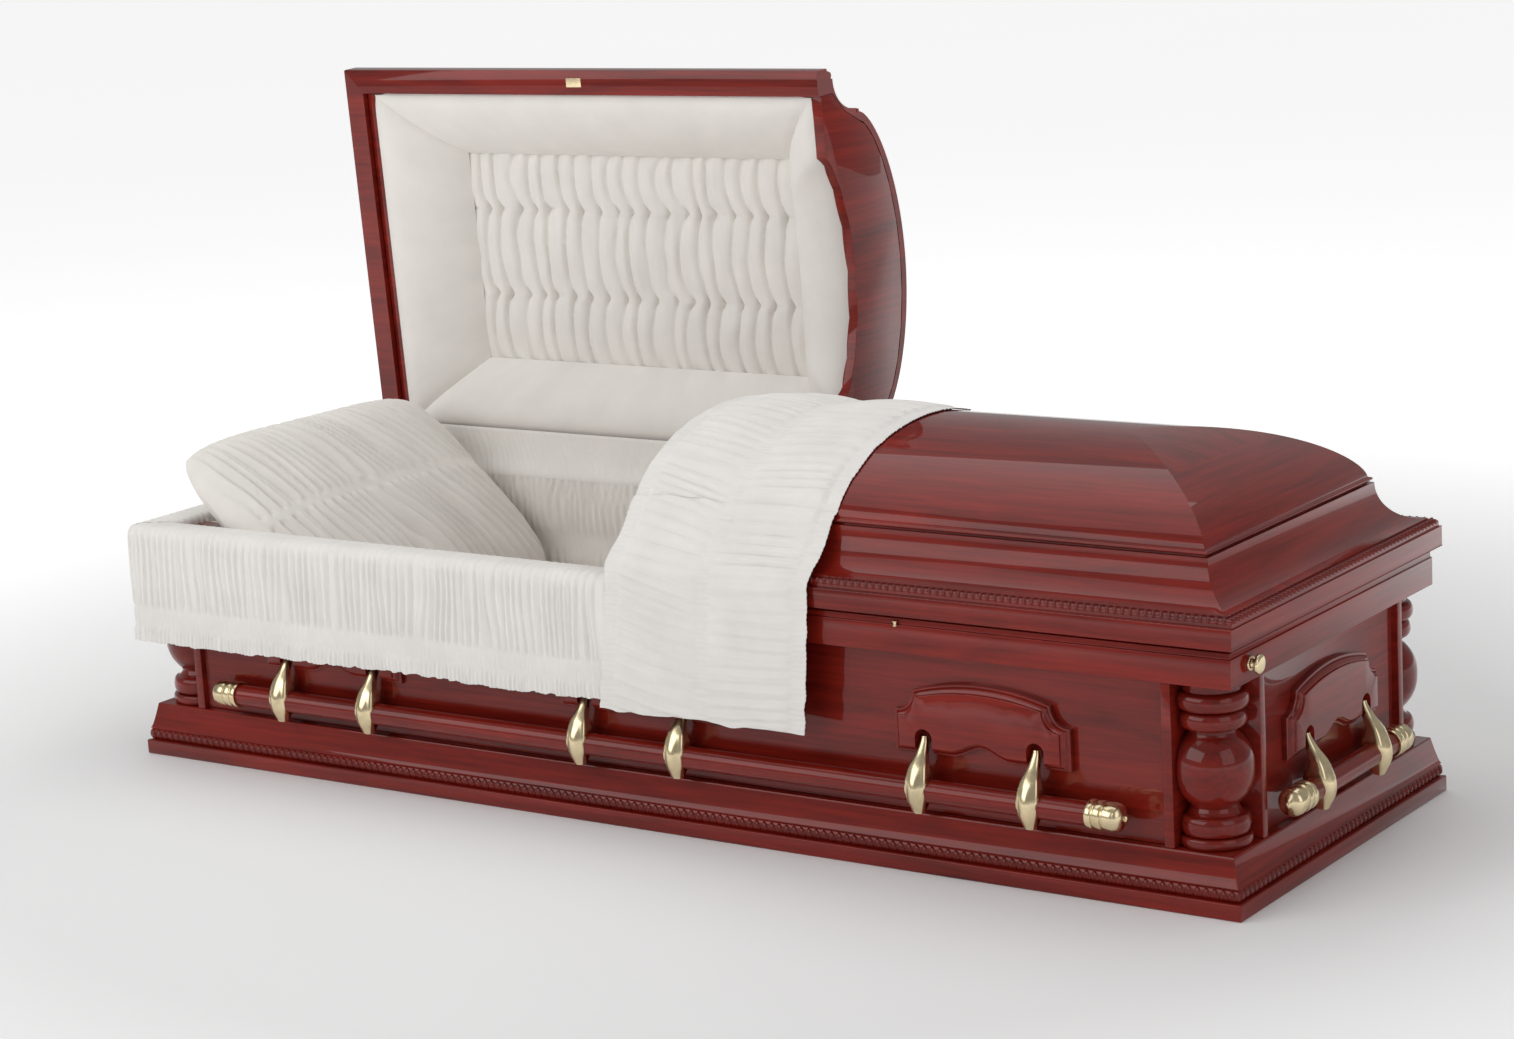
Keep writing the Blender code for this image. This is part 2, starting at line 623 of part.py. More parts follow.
def plate_outline(inset):
    """A handle plate's outline as (x, z) points about its arm pivots, moved in by inset at its moulded edge."""
    half = PLATE_HALF_WIDTH - inset
    low = -PLATE_DROP + 0.76 * inset
    shoulder = PLATE_SHOULDER - 0.48 * inset
    notch_x = PLATE_NOTCH_HALF_WIDTH - 0.76 * inset
    notch_z = PLATE_NOTCH_RISE - 0.62 * inset
    crown = PLATE_CROWN_RISE - inset
    arm = ARM_SPACING / 2
    right = [(0.0, low + HUMP_RISE), (0.30 * HUMP_HALF_WIDTH, low + 0.93 * HUMP_RISE),
             (0.62 * HUMP_HALF_WIDTH, low + 0.45 * HUMP_RISE), (0.85 * HUMP_HALF_WIDTH, low), (arm - KEYHOLE_RADIUS, low)]
    right += [(arm - KEYHOLE_RADIUS * math.cos(math.radians(angle)), KEYHOLE_RISE + KEYHOLE_RADIUS *
               math.sin(math.radians(angle))) for angle in (0, 60, 120, 180)]
    right += [(arm + KEYHOLE_RADIUS, low), (half, low), (half, shoulder)]
    bend = math.sin(math.radians(45))
    right.append((notch_x + (half - notch_x) * (1 - bend), notch_z - (notch_z - shoulder) * bend))
    right += [(notch_x, notch_z)]
    right += [(notch_x * share, crown - (crown - notch_z) * share ** 2) for share in (0.67, 0.33)]
    left = [(-x, z) for x, z in reversed(right)]
    return right + [(0.0, crown)] + left[:-1]


def build_plates():
    """Eight handle plates: a stepped moulding round the edge, keyholes for the arms and a hump below."""
    back = PANEL_SETBACK - GAP
    depth = back - PLATE_FRONT_SETBACK
    levels = [(0.0, 0.0), (0.45 * depth, 0.0), (depth, PLATE_MOULDING)]
    points, faces = [], []
    for proud, inset in levels:
        points += [(x, -proud, z) for x, z in plate_outline(inset)]
    count = len(plate_outline(0.0))
    for level in range(len(levels) - 1):
        faces += ring_faces(level * count, (level + 1) * count, count)
    for level in (0, len(levels) - 1):
        outline = [Vector((x, z, 0.0)) for x, z in plate_outline(levels[level][1])]
        faces += [[level * count + index for index in triangle] for triangle in tessellate_polygon([outline])]
    shape = mesh_of("plate", points, faces)
    side_x = HALF_X - PLATE_FROM_END
    for place_name, x in (("head", -side_x), ("middle", 0.0), ("foot", side_x)):
        place("plate_front_" + place_name, shape, "cherry_wood", (x, -HALF_Y + back, ARM_PIVOT_HEIGHT))
        place("plate_back_" + place_name, shape, "cherry_wood", (x, HALF_Y - back, ARM_PIVOT_HEIGHT), 180)
    place("plate_head_end", shape, "cherry_wood", (-HALF_X + back, 0.0, ARM_PIVOT_HEIGHT), 270)
    place("plate_foot_end", shape, "cherry_wood", (HALF_X - back, 0.0, ARM_PIVOT_HEIGHT), 90)


def arm_shape():
    """A leaf-shaped handle arm about its pivot: it hangs down, bows outward and is bored for the bar."""
    stations = [
        (0.0085, 0.0045, 0.0070, 0.0050), (0.0010, 0.0055, 0.0100, 0.0088), (-0.015, 0.0070, 0.0205, -0.001),
        (-0.034, 0.0120, 0.0350, -0.007), (-0.058, 0.0150, 0.0460, 0.0035), (-0.080, 0.0130, 0.0455, 0.0005),
        (-0.102, 0.0058, 0.0350, -0.018),
    ]
    points, faces = [], []
    for height, half, out, back in stations:
        middle = -out + 0.32 * (out + back)
        points += [(0.0, -out, height), (half, middle, height), (0.70 * half, back, height),
                   (-0.70 * half, back, height), (-half, middle, height)]
    count = 5
    for level in range(len(stations) - 1):
        faces += ring_faces(level * count, (level + 1) * count, count)
    faces += [list(range(count)), list(range((len(stations) - 1) * count, len(stations) * count))]
    solid = mesh_of("arm", points, faces)
    reach = 0.02
    bore = turned("bore", [(0.0, -reach), (BAR_RADIUS + GAP, -reach), (BAR_RADIUS + GAP, reach), (0.0, reach)],
                  BAR_SIDES, "X")
    bore.transform(Matrix.Translation((0.0, -BAR_OUT, -BAR_DROP)))
    return combined("arm", solid, bore, "DIFFERENCE")


def tip_shape():
    """A turned brass tip that sits over the bar's end: two rings, a domed end and a blind bore."""
    bore = BAR_RADIUS + GAP
    length, radius = TIP_LENGTH, TIP_RADIUS
    profile = [(0.0, length), (0.50 * radius, length - 0.004), (0.88 * radius, length - 0.012),
               (radius, length - 0.017), (radius, 0.42 * length), (0.93 * radius, 0.38 * length),
               (radius, 0.34 * length), (radius, 0.0), (bore, 0.0), (bore, length - TIP_WALL),
               (0.0, length - TIP_WALL)]
    return turned("tip", profile, BAR_SIDES, "X")


def build_handle(side, shapes, half_length, centres, location, turn):
    """One swing handle: its bar, two tips and its arms, carried by an empty on the arms' pivot line."""
    pivot = axis_empty("handle_%s_axis" % side, location)
    pivot.rotation_euler.z = math.radians(turn)
    bar_end = half_length - TIP_WALL - GAP
    bar = turned("bar", [(0.0, -bar_end), (BAR_RADIUS, -bar_end), (BAR_RADIUS, bar_end), (0.0, bar_end)],
                 BAR_SIDES, "X")
    at_bar = (0.0, -BAR_OUT, -BAR_DROP)
    place("bar_" + side, bar, "cherry_wood", at_bar, parent=pivot, smooth_angle=40)
    tip, arm = shapes
    for number, end in ((1, -1), (2, 1)):
        place("tip_%s_%d" % (side, number), tip, "antique_brass",
              (end * (half_length - TIP_LENGTH), -BAR_OUT, -BAR_DROP), 0 if end > 0 else 180, pivot, 40)
    arm_centres = [centre + offset for centre in centres for offset in (-ARM_SPACING / 2, ARM_SPACING / 2)]
    for number, x in enumerate(arm_centres, 1):
        place("arm_%s_%d" % (side, number), arm, "antique_brass", (x, 0.0, 0.0), 0, pivot, 35)


def build_handles():
    shapes = tip_shape(), arm_shape()
    side_x, side_y = HALF_X - ARM_PIVOT_SETBACK, HALF_Y - ARM_PIVOT_SETBACK
    pairs = [-(HALF_X - PLATE_FROM_END), 0.0, HALF_X - PLATE_FROM_END]
    long_half = HALF_X - BAR_FROM_END
    build_handle("front", shapes, long_half, pairs, (0.0, -side_y, ARM_PIVOT_HEIGHT), 0)
    build_handle("back", shapes, long_half, pairs, (0.0, side_y, ARM_PIVOT_HEIGHT), 180)
    build_handle("head_end", shapes, END_BAR_HALF_LENGTH, [0.0], (-side_x, 0.0, ARM_PIVOT_HEIGHT), 270)
    build_handle("foot_end", shapes, END_BAR_HALF_LENGTH, [0.0], (side_x, 0.0, ARM_PIVOT_HEIGHT), 90)


def build_knob():
    radius, reach = KNOB_RADIUS, KNOB_REACH
    profile = [(0.0, 0.0), (0.75 * radius, 0.0), (0.75 * radius, 0.2 * reach), (0.45 * radius, 0.3 * reach),
               (0.45 * radius, 0.55 * reach), (0.93 * radius, 0.6 * reach), (radius, 0.7 * reach),
               (radius, 0.85 * reach), (0.85 * radius, reach), (0.0, reach)]
    height = FRIEZE_TOP - KNOB_DROP
    place("locking_knob", turned("knob", profile, 10, "X"), "antique_brass",
          (HALF_X - FRIEZE_SETBACK + GAP, -HALF_Y + KNOB_ASIDE, height), smooth_angle=40)


def build_lining_and_bed():
    outline = notched_rectangle(GAP)
    inner = notched_rectangle(GAP + LINING_THICKNESS)
    place("wall_lining", prism("wall_lining", outline, FLOOR_THICKNESS + GAP, RAIL_TOP - 0.002, inner), "ivory_cloth")
    clear = GAP + LINING_THICKNESS + 2 * GAP
    wedge_foot, wedge_head = pillow_underside()
    slope = (wedge_head[1] - wedge_foot[1]) / (wedge_head[0] - wedge_foot[0])
    bottom, end_x = FLOOR_THICKNESS + GAP, HALF_X - NICHE_INNER - clear
    side = [(end_x, bottom), (end_x, BED_HEIGHT), (wedge_foot[0] + (BED_HEIGHT - wedge_foot[1]) / slope, BED_HEIGHT),
            (-end_x, wedge_foot[1] + slope * (-end_x - wedge_foot[0])), (-end_x, bottom)]
    half = INNER_Y - clear
    points = [(x, y, z) for y in (-half, half) for x, z in side]
    ends = [[index + first for index in range(len(side))] for first in (0, len(side))]
    place("bed", mesh_of("bed", points, ring_faces(0, len(side), len(side)) + ends), "ivory_cloth")


def pillow_axes():
    slope = math.radians(PILLOW_SLOPE)
    centre = Vector((-HALF_X + PILLOW_FROM_END, 0.0, PILLOW_CENTRE_HEIGHT))
    return centre, Vector((-math.cos(slope), 0.0, math.sin(slope))), Vector((math.sin(slope), 0.0, math.cos(slope)))


def pillow_swell(across, along):
    """Half the pillow's thickness at shares from -1 to 1 across and along it."""
    return PILLOW_THICKNESS / 2 * ((1 - across ** 4) * (1 - along ** 4)) ** 0.45


def pillow_underside():
    """Two (x, z) points just below the pillow's underside line, for the raised head of the bed."""
    centre, up_slope, normal = pillow_axes()
    clear = PILLOW_THICKNESS / 2 + 0.003
    found = []
    for along in (-0.5, 0.5):
        point = centre + up_slope * (along * PILLOW_LENGTH) - normal * clear
        found.append((point.x, point.z))
    return found


def build_pillow():
    centre, up_slope, normal = pillow_axes()
    steps = [-1.0, -0.86, -0.5, 0.0, 0.5, 0.86, 1.0]
    points, faces = [], []
    for face_side in (-1, 1):
        for along in steps:
            for across in steps:
                swell = face_side * pillow_swell(across, along)
                point = centre + up_slope * (along * PILLOW_LENGTH / 2) + normal * swell
                points.append((point.x, across * PILLOW_WIDTH / 2, point.z))
    count = len(steps)
    for first in (0, count * count):
        for row in range(count - 1):
            for column in range(count - 1):
                corner = first + row * count + column
                faces.append([corner, corner + 1, corner + count + 1, corner + count])
    place("pillow", mesh_of("pillow", points, faces), "ivory_cloth", smooth_angle=60)


def build_skirt():
    """The shirred cloth over the head half of the rim, which hangs outside along the front and the head end."""
    hem = RAIL_TOP - SKIRT_DROP + GAP
    outer, inner = -SKIRT_OUT, -SKIRT_OUT + SKIRT_THICKNESS
    top = RAIL_TOP + SKIRT_RISE
    inside = PANEL_SETBACK + WALL_THICKNESS
    section = [
        (outer, hem), (outer, RAIL_TOP + 0.005), (outer + 0.0045, RAIL_TOP + 0.6 * SKIRT_RISE), (0.010, top - 0.0005),
        (0.030, top), (inside, top - 0.004), (inside + 0.0115, RAIL_TOP + 0.012), (inside + 0.0115, LID_BOTTOM + 0.001),
        (TONGUE_SETBACK - 0.003, LID_BOTTOM + 0.001), (inner, RAIL_TOP + 0.0015), (inner, hem),
    ]
    start_x = LID_SPLIT - 0.002
    end_y = HALF_Y - SKIRT_BACK_MARGIN
    points, faces = [], []
    for setback, height in section:
        x, y = -HALF_X + setback, -HALF_Y + setback
        points += [(start_x, y, height), (x, y, height), (x, end_y, height)]
    count = len(section)
    for level in range(count):
        faces += ring_faces(3 * level, 3 * ((level + 1) % count), 3, closed=False)
    for station in (0, 2):
        flat = [Vector((setback, height, 0.0)) for setback, height in section]
        faces += [[3 * index + station for index in triangle] for triangle in tessellate_polygon([flat])]
    place("skirt", mesh_of("skirt", points, faces), "ivory_cloth")


def throw_path():
    """The throw's inner side as (y, z) points from its front hem up over the crown to its back edge."""
    out = -SKIRT_OUT - 0.0007
    rim_top = LID_BOTTOM + RIM_HEIGHT
    setbacks = [(out, LID_BOTTOM - THROW_DROP - 0.007), (out, LID_BOTTOM), (out, rim_top - 0.002),
                (-0.0040, rim_top + 0.0036), (NOSING_SETBACK - 0.002, CROWN_START + 0.0005)]
    crown = crown_points(NOSING_SETBACK + 0.006, CROWN_START, LID_TOP, 12)[1:]
    front = [(setback - HALF_Y, height) for setback, height in setbacks]
    front += [(setback - HALF_Y, height) for setback, height in crown]
    back = [(-y, z) for y, z in reversed(front[:-1]) if -y < THROW_BEHIND_MIDDLE]
    run = front + back
    shifted = []
    for index, (y, z) in enumerate(run):
        before, after = run[max(0, index - 1)], run[min(len(run) - 1, index + 1)]
        along = Vector((after[0] - before[0], after[1] - before[1])).normalized()
        lift = 0.0016 if index > 4 else 0.0
        shifted.append(((y - lift * along.y, z + lift * along.x), Vector((-along.y, along.x))))
    return shifted


def build_throw(parent, closed):
    """The cloth laid over the foot lid, from in front of the case to behind the crown's ridge."""
    path = throw_path()
    hem = path[0][0][1]
    points, faces = [], []
    for (y, z), outward in path:
        share = max(0.0, (LID_BOTTOM - z) / (LID_BOTTOM - hem))
        start = LID_SPLIT + 0.0006 - THROW_SLANT * share
        stop = LID_SPLIT + THROW_WIDTH - 0.65 * THROW_SLANT * share
        oy, oz = y + outward.x * THROW_THICKNESS, z + outward.y * THROW_THICKNESS
        points += [(start, y, z), (stop, y, z), (stop, oy, oz), (start, oy, oz)]
    for station in range(len(path) - 1):
        faces += ring_faces(4 * station, 4 * station + 4, 4)
    faces += [[0, 1, 2, 3], [4 * len(path) - 4 + index for index in range(4)]]
    place("throw", mesh_of("throw", points, faces), "ivory_cloth", closed, parent=parent, smooth_angle=40)


def main():
    for old in list(bpy.data.objects):
        bpy.data.objects.remove(old)
    build_base()
    build_case()
    build_top_rail()
    build_posts()
    build_lids()
    build_plates()
    build_handles()
    build_knob()
    build_lining_and_bed()
    build_pillow()
    build_skirt()
    build_throw(bpy.data.objects["foot_lid_axis"], (0.0, -PIVOT_Y, -PIVOT_Z))


main()
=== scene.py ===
"""Dresses the wooden funeral casket: carved cherry wood, brass fittings and gathered crepe, in a studio.

Metres, +Z up. The head end is at -X, the front at -Y and the lids' hinges are on the +Y side. A setback is a
distance inward from the outer edge of the base.
"""
import math

import bmesh
import bpy
import numpy as np
from bpy.props import FloatProperty, FloatVectorProperty, IntProperty, PointerProperty
from bpy.types import Operator, Panel, PropertyGroup
from mathutils import Matrix, Vector


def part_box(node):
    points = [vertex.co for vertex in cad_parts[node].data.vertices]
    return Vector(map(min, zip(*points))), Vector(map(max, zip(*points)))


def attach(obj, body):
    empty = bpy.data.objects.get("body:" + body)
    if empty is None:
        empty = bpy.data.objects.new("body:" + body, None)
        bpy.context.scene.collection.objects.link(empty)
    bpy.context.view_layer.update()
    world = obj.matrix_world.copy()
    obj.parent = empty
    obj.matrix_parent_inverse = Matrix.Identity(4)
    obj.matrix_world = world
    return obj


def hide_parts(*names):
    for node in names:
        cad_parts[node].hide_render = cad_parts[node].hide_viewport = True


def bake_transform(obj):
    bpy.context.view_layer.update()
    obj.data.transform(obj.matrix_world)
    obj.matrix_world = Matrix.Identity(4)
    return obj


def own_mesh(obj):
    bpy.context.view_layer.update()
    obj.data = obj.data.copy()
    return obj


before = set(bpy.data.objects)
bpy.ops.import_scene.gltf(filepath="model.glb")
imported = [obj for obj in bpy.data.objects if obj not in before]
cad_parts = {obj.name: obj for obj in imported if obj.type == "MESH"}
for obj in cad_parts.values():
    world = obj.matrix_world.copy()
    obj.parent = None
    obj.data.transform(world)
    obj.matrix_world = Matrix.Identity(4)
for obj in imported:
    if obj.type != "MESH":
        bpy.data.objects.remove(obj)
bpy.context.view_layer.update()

bl_info = {
    "name": "Casket dresser",
    "version": (1, 0, 0),
    "blender": (4, 5, 0),
    "location": "View3D > Sidebar > Casket",
    "description": "Builds the fine wood, brass and cloth of a half-open casket round its plain solids",
    "category": "Object",
}

BASE_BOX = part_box("base")
HALF_X, HALF_Y = BASE_BOX[1][0], BASE_BOX[1][1]

# Heights of the carcass
BASE_TOP = 0.087
FLOOR_TOP = 0.018
RAIL_TOP = 0.381
LID_BOTTOM = 0.388
RIM_TOP = 0.4189
CROWN_START = 0.5065
LID_TOP = 0.613

# Setbacks and gaps
NOSING_SETBACK = 0.0775
RIM_INNER = 0.040
WALL_INNER = 0.049
NICHE_DEPTH = 0.1114
NICHE_INNER = 0.1294
LID_WALL = 0.015
FIT_GAP = 0.0003
CORNER_ROUND = 0.0012
TINY = 0.00001

# The lids: where they split along X, their hinge line and how the head lid stands open
LID_SPLIT = -0.020
SPLIT_GAP = 0.0005
PIVOT = Vector((0.0, 0.355, 0.408))
OPEN_LID = (Matrix.Translation(PIVOT) @ Matrix.Rotation(math.radians(-86.9), 4, "X")
            @ Matrix.Translation(-PIVOT))
LIDS = (("head", "head_lid", -1), ("foot", "foot_lid", 1))

# Corner posts
POST_SETBACK = 0.075
POST_HEIGHT = 0.2414
POST_NECK = 0.0345
POST_BALL = 0.0580

# Handles
PIVOT_HEIGHT = 0.198
PLATE_X = 0.626
PLATE_BACK = 0.0307
ARM_PIVOT_SETBACK = 0.021
ARM_SPACING = 0.1886
BAR_DROP = 0.0695
BAR_OUT = 0.021
BAR_RADIUS = 0.0177
BAR_CHAMFER = 0.0010
BAR_SHORT = 0.0143
LONG_BAR_SETBACK = 0.173
END_BAR_HALF = 0.200
TIP_RADIUS = 0.022
TIP_LENGTH = 0.061


class CasketSettings(PropertyGroup):
    """Sizes and colours that a user may change."""

    base_rope_pitch: FloatProperty(
        name="Base rope pitch", description="Distance between the strands carved round the base",
        default=0.0136, min=0.008, max=0.03, unit="LENGTH")
    lid_rope_pitch: FloatProperty(
        name="Lid rope pitch", description="Distance between the strands carved round the lids",
        default=0.0122, min=0.008, max=0.03, unit="LENGTH")
    crown_steps: IntProperty(
        name="Crown steps", description="Facets from the foot of the lid's crown to its ridge",
        default=56, min=16, max=120)
    pleat_count: IntProperty(
        name="Panel pleats", description="Pleats across the lining panel of each lid",
        default=20, min=8, max=40)
    gather_pitch: FloatProperty(
        name="Gather pitch", description="Usual distance between the gathers of the skirt",
        default=0.0150, min=0.006, max=0.04, unit="LENGTH")
    gather_depth: FloatProperty(
        name="Gather depth", description="Usual depth of the gathers of the skirt",
        default=0.0075, min=0.001, max=0.01, unit="LENGTH")
    wood_colour: FloatVectorProperty(
        name="Wood", description="Colour of the stained wood under its lacquer", subtype="COLOR",
        default=(0.195, 0.0115, 0.0060), min=0.0, max=1.0)
    brass_colour: FloatVectorProperty(
        name="Brass", description="Colour of the polished brass", subtype="COLOR",
        default=(0.80, 0.665, 0.42), min=0.0, max=1.0)
    skirt_colour: FloatVectorProperty(
        name="Crepe", description="Colour of the skirt and the throw", subtype="COLOR",
        default=(0.85, 0.825, 0.79), min=0.0, max=1.0)
    lining_colour: FloatVectorProperty(
        name="Lining", description="Colour of the cloth inside the casket and of the pillow", subtype="COLOR",
        default=(0.83, 0.797, 0.748), min=0.0, max=1.0)


# Modelling helpers

def clear_selection():
    """Leave edit mode and select nothing."""
    if bpy.context.object and bpy.context.object.mode != "OBJECT":
        bpy.ops.object.mode_set(mode="OBJECT")
    bpy.ops.object.select_all(action="DESELECT")


def pick(piece):
    """Leave edit mode and select one piece alone."""
    clear_selection()
    piece.select_set(True)
    bpy.context.view_layer.objects.active = piece


def edit_all():
    """Edit the active piece with everything in it selected."""
    bpy.ops.object.mode_set(mode="EDIT")
    bpy.ops.mesh.select_all(action="SELECT")


def close_outward():
    """Turn all faces of the piece in edit mode outward and leave edit mode."""
    bpy.ops.mesh.select_all(action="SELECT")
    bpy.ops.mesh.normals_make_consistent(inside=False)
    bpy.ops.object.mode_set(mode="OBJECT")


def apply_place():
    bpy.ops.object.transform_apply(location=True, rotation=True, scale=True)


def read_array(data, field, width, kind=float):
    """One field of every element as rows of numbers."""
    found = np.empty(len(data) * width, kind)
    data.foreach_get(field, found)
    return found.reshape(-1, width)


def apply_modifier(piece, kind, **values):
    """Add one modifier to a piece and apply it."""
    pick(piece)
    added = piece.modifiers.new(kind.lower(), kind)
    for name, value in values.items():
        setattr(added, name, value)
    bpy.ops.object.modifier_apply(modifier=added.name)


def settle(piece, name, finish, body, nodes=(), smooth=None, turned=True):
    """Name a finished piece, give it its finish and hand it to the body that it moves with."""
    pick(piece)
    apply_place()
    piece.name = name
    piece.data.name = name
    if body == "head_lid" and turned:
        piece.data.transform(OPEN_LID)
    piece.data.materials.clear()
    piece.data.materials.append(bpy.data.materials[finish])
    if smooth is not None:
        bpy.ops.object.shade_smooth_by_angle(angle=math.radians(smooth))
    if body:
        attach(piece, body)
    if nodes:
        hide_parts(*nodes)


def copied(piece, matrix):
    """A copy of a piece with its own mesh, put in place by a matrix."""
    twin = piece.copy()
    twin.data = piece.data.copy()
    twin.data.transform(matrix)
    bpy.context.scene.collection.objects.link(twin)
    return twin


def discard(piece):
    bpy.data.objects.remove(piece)


def drawn_line(points):
    """A run of edges drawn point by point, as a modeller draws a lathe profile."""
    clear_selection()
    start = Vector(points[0])
    bpy.ops.mesh.primitive_plane_add(size=0.01, location=start)
    line = bpy.context.object
    bpy.ops.object.mode_set(mode="EDIT")
    bpy.ops.mesh.select_mode(type="VERT")
    bpy.ops.mesh.select_all(action="SELECT")
    bpy.ops.mesh.merge(type="CENTER")
    for before, after in zip(points, points[1:]):
        step = Vector(after) - Vector(before)
        bpy.ops.mesh.extrude_region_move(TRANSFORM_OT_translate={"value": step})
    return line


def face_outward(piece):
    """Turn a closed piece's faces outward."""
    mesh = bmesh.new()
    mesh.from_mesh(piece.data)
    bmesh.ops.recalc_face_normals(mesh, faces=mesh.faces[:])
    if mesh.calc_volume(signed=True) < 0:
        bmesh.ops.reverse_faces(mesh, faces=mesh.faces[:])
    mesh.to_mesh(piece.data)
    mesh.free()


def spun(points, steps):
    """A lathe-turned piece about Z from (radius, height) points."""
    line = drawn_line([(radius, 0.0, height) for radius, height in points])
    bpy.ops.mesh.select_all(action="SELECT")
    bpy.ops.mesh.spin(steps=steps, angle=2 * math.pi, center=(0.0, 0.0, 0.0), axis=(0.0, 0.0, 1.0))
    bpy.ops.mesh.select_all(action="SELECT")
    bpy.ops.mesh.remove_doubles(threshold=TINY)
    pick(line)
    apply_place()
    face_outward(line)
    return line


def pulled_up(profile, start_x, end_x, round_ends):
    """A flat rectangle pulled up through a moulding's (setback, height) points, its corners softly rounded.

    With start_x None the moulding runs round all four sides. Otherwise it stands square at start_x.
    """
    whole = start_x is None
    setback, height = profile[0]

    def spans(inward):
        width = 2 * (HALF_Y - inward)
        if whole:
            return 2 * (HALF_X - inward), width
        return abs(end_x - math.copysign(inward, end_x) - start_x), width

    centre_x = 0.0 if whole else start_x
    length, width = spans(setback)
    middle_x = 0.0 if whole else start_x + math.copysign(length / 2, end_x)
    clear_selection()
    bpy.ops.mesh.primitive_plane_add(size=1.0, location=(middle_x, 0.0, height))
    piece = bpy.context.object
    piece.scale = (length, width, 1.0)
    apply_place()
    bpy.ops.object.mode_set(mode="EDIT")
    bpy.ops.mesh.select_mode(type="VERT")
    mesh = bmesh.from_edit_mesh(piece.data)
    for corner in mesh.verts:
        corner.select = whole or abs(corner.co.x - start_x) > 0.01
    mesh.select_flush_mode()
    bmesh.update_edit_mesh(piece.data)
    bpy.ops.mesh.bevel(offset=round_ends, segments=3, affect="VERTICES")
    bpy.ops.mesh.select_all(action="SELECT")
    for (before_in, before_z), (after_in, after_z) in zip(profile, profile[1:]):
        bpy.ops.mesh.extrude_region_move(TRANSFORM_OT_translate={"value": (0.0, 0.0, after_z - before_z)})
        before, after = spans(before_in), spans(after_in)
        shrink = (after[0] / before[0], max(after[1], 0.0) / before[1], 1.0)
        bpy.ops.transform.resize(value=shrink, center_override=(centre_x, 0.0, after_z))
    bpy.ops.mesh.select_all(action="SELECT")
    bpy.ops.mesh.remove_doubles(threshold=TINY)
    bpy.ops.object.mode_set(mode="OBJECT")
    face_outward(piece)
    return piece


def block(low, high):
    """A box between two corners."""
    clear_selection()
    middle = [(a + b) / 2 for a, b in zip(low, high)]
    bpy.ops.mesh.primitive_cube_add(size=1.0, location=middle)
    piece = bpy.context.object
    piece.scale = [b - a for a, b in zip(low, high)]
    apply_place()
    return piece


def carve(piece, cutter):
    """Cut one piece out of another and throw the cutter away."""
    apply_modifier(piece, "BOOLEAN", operation="DIFFERENCE", solver="EXACT", object=cutter)
    discard(cutter)


def joined(pieces):
    pick(pieces[0])
    for piece in pieces[1:]:
        piece.select_set(True)
    bpy.ops.object.join()
    return pieces[0]


def eased_copy(node, width):
    """A copy of a plain solid with its flat faces made whole and its edges eased."""
    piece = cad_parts[node].copy()
    piece.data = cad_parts[node].data.copy()
    piece.parent = None
    bpy.context.scene.collection.objects.link(piece)
    piece.matrix_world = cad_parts[node].matrix_world
    for key in [key for key in piece.keys() if key.startswith("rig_")]:
        del piece[key]
    apply_modifier(piece, "WELD", merge_threshold=0.00002)
    apply_modifier(piece, "DECIMATE", decimate_type="DISSOLVE", angle_limit=math.radians(0.6))
    apply_modifier(piece, "BEVEL", width=width, segments=2, limit_method="ANGLE",
                   angle_limit=math.radians(40))
    return piece


def mark_grain(piece):
    """Record on each face whether its grain runs across the casket, as it does on the end boards."""
    mesh = piece.data
    found = mesh.attributes.get("across") or mesh.attributes.new("across", "FLOAT", "FACE")
    normals = np.abs(read_array(mesh.polygons, "normal", 3))
    least_lean = 0.35
    across = normals[:, 0] > np.maximum(normals[:, 1], least_lean)
    found.data.foreach_set("value", across.astype(np.float32))


def smooth_curve(points, steps):
    """Points along a smooth curve through the given ones."""
    knots = [np.array(point, float) for point in points]
    knots = [2 * knots[0] - knots[1]] + knots + [2 * knots[-1] - knots[-2]]
    found = []
    for index in range(1, len(knots) - 2):
        p0, p1, p2, p3 = knots[index - 1:index + 3]
        for step in range(steps):
            t = step / steps
            found.append(0.5 * (2 * p1 + (p2 - p0) * t + (2 * p0 - 5 * p1 + 4 * p2 - p3) * t * t
                                + (3 * p1 - 3 * p2 + p3 - p0) * t ** 3))
    return found + [knots[-2]]


# Cloth helpers

LINE_KNOTS, LINE_SHIFT = 4096, 1000.0
CLOUD_KNOTS, CLOUD_SHIFT = 512, 100.0
WAY_STEP = 0.002


def drift(s, cell, seed):
    """Smooth noise from -1 to 1 along a line."""
    knots = np.random.default_rng(seed).uniform(-1.0, 1.0, LINE_KNOTS)
    at = np.asarray(s) / cell + LINE_SHIFT
    low = np.floor(at).astype(int)
    share = at - low
    share = share * share * (3 - 2 * share)
    return knots[low % LINE_KNOTS] * (1 - share) + knots[(low + 1) % LINE_KNOTS] * share


def cloud(s, t, cell_s, cell_t, seed):
    """Smooth noise from -1 to 1 over a surface."""
    knots = np.random.default_rng(seed).uniform(-1.0, 1.0, (CLOUD_KNOTS, CLOUD_KNOTS))
    a, b = np.asarray(s) / cell_s + CLOUD_SHIFT, np.asarray(t) / cell_t + CLOUD_SHIFT
    i, j = np.floor(a).astype(int), np.floor(b).astype(int)
    u, v = a - i, b - j
    u, v = u * u * (3 - 2 * u), v * v * (3 - 2 * v)
    i0, i1, j0, j1 = (index % CLOUD_KNOTS for index in (i, i + 1, j, j + 1))
    low = knots[i0, j0] * (1 - u) + knots[i1, j0] * u
    high = knots[i0, j1] * (1 - u) + knots[i1, j1] * u
    return low * (1 - v) + high * v


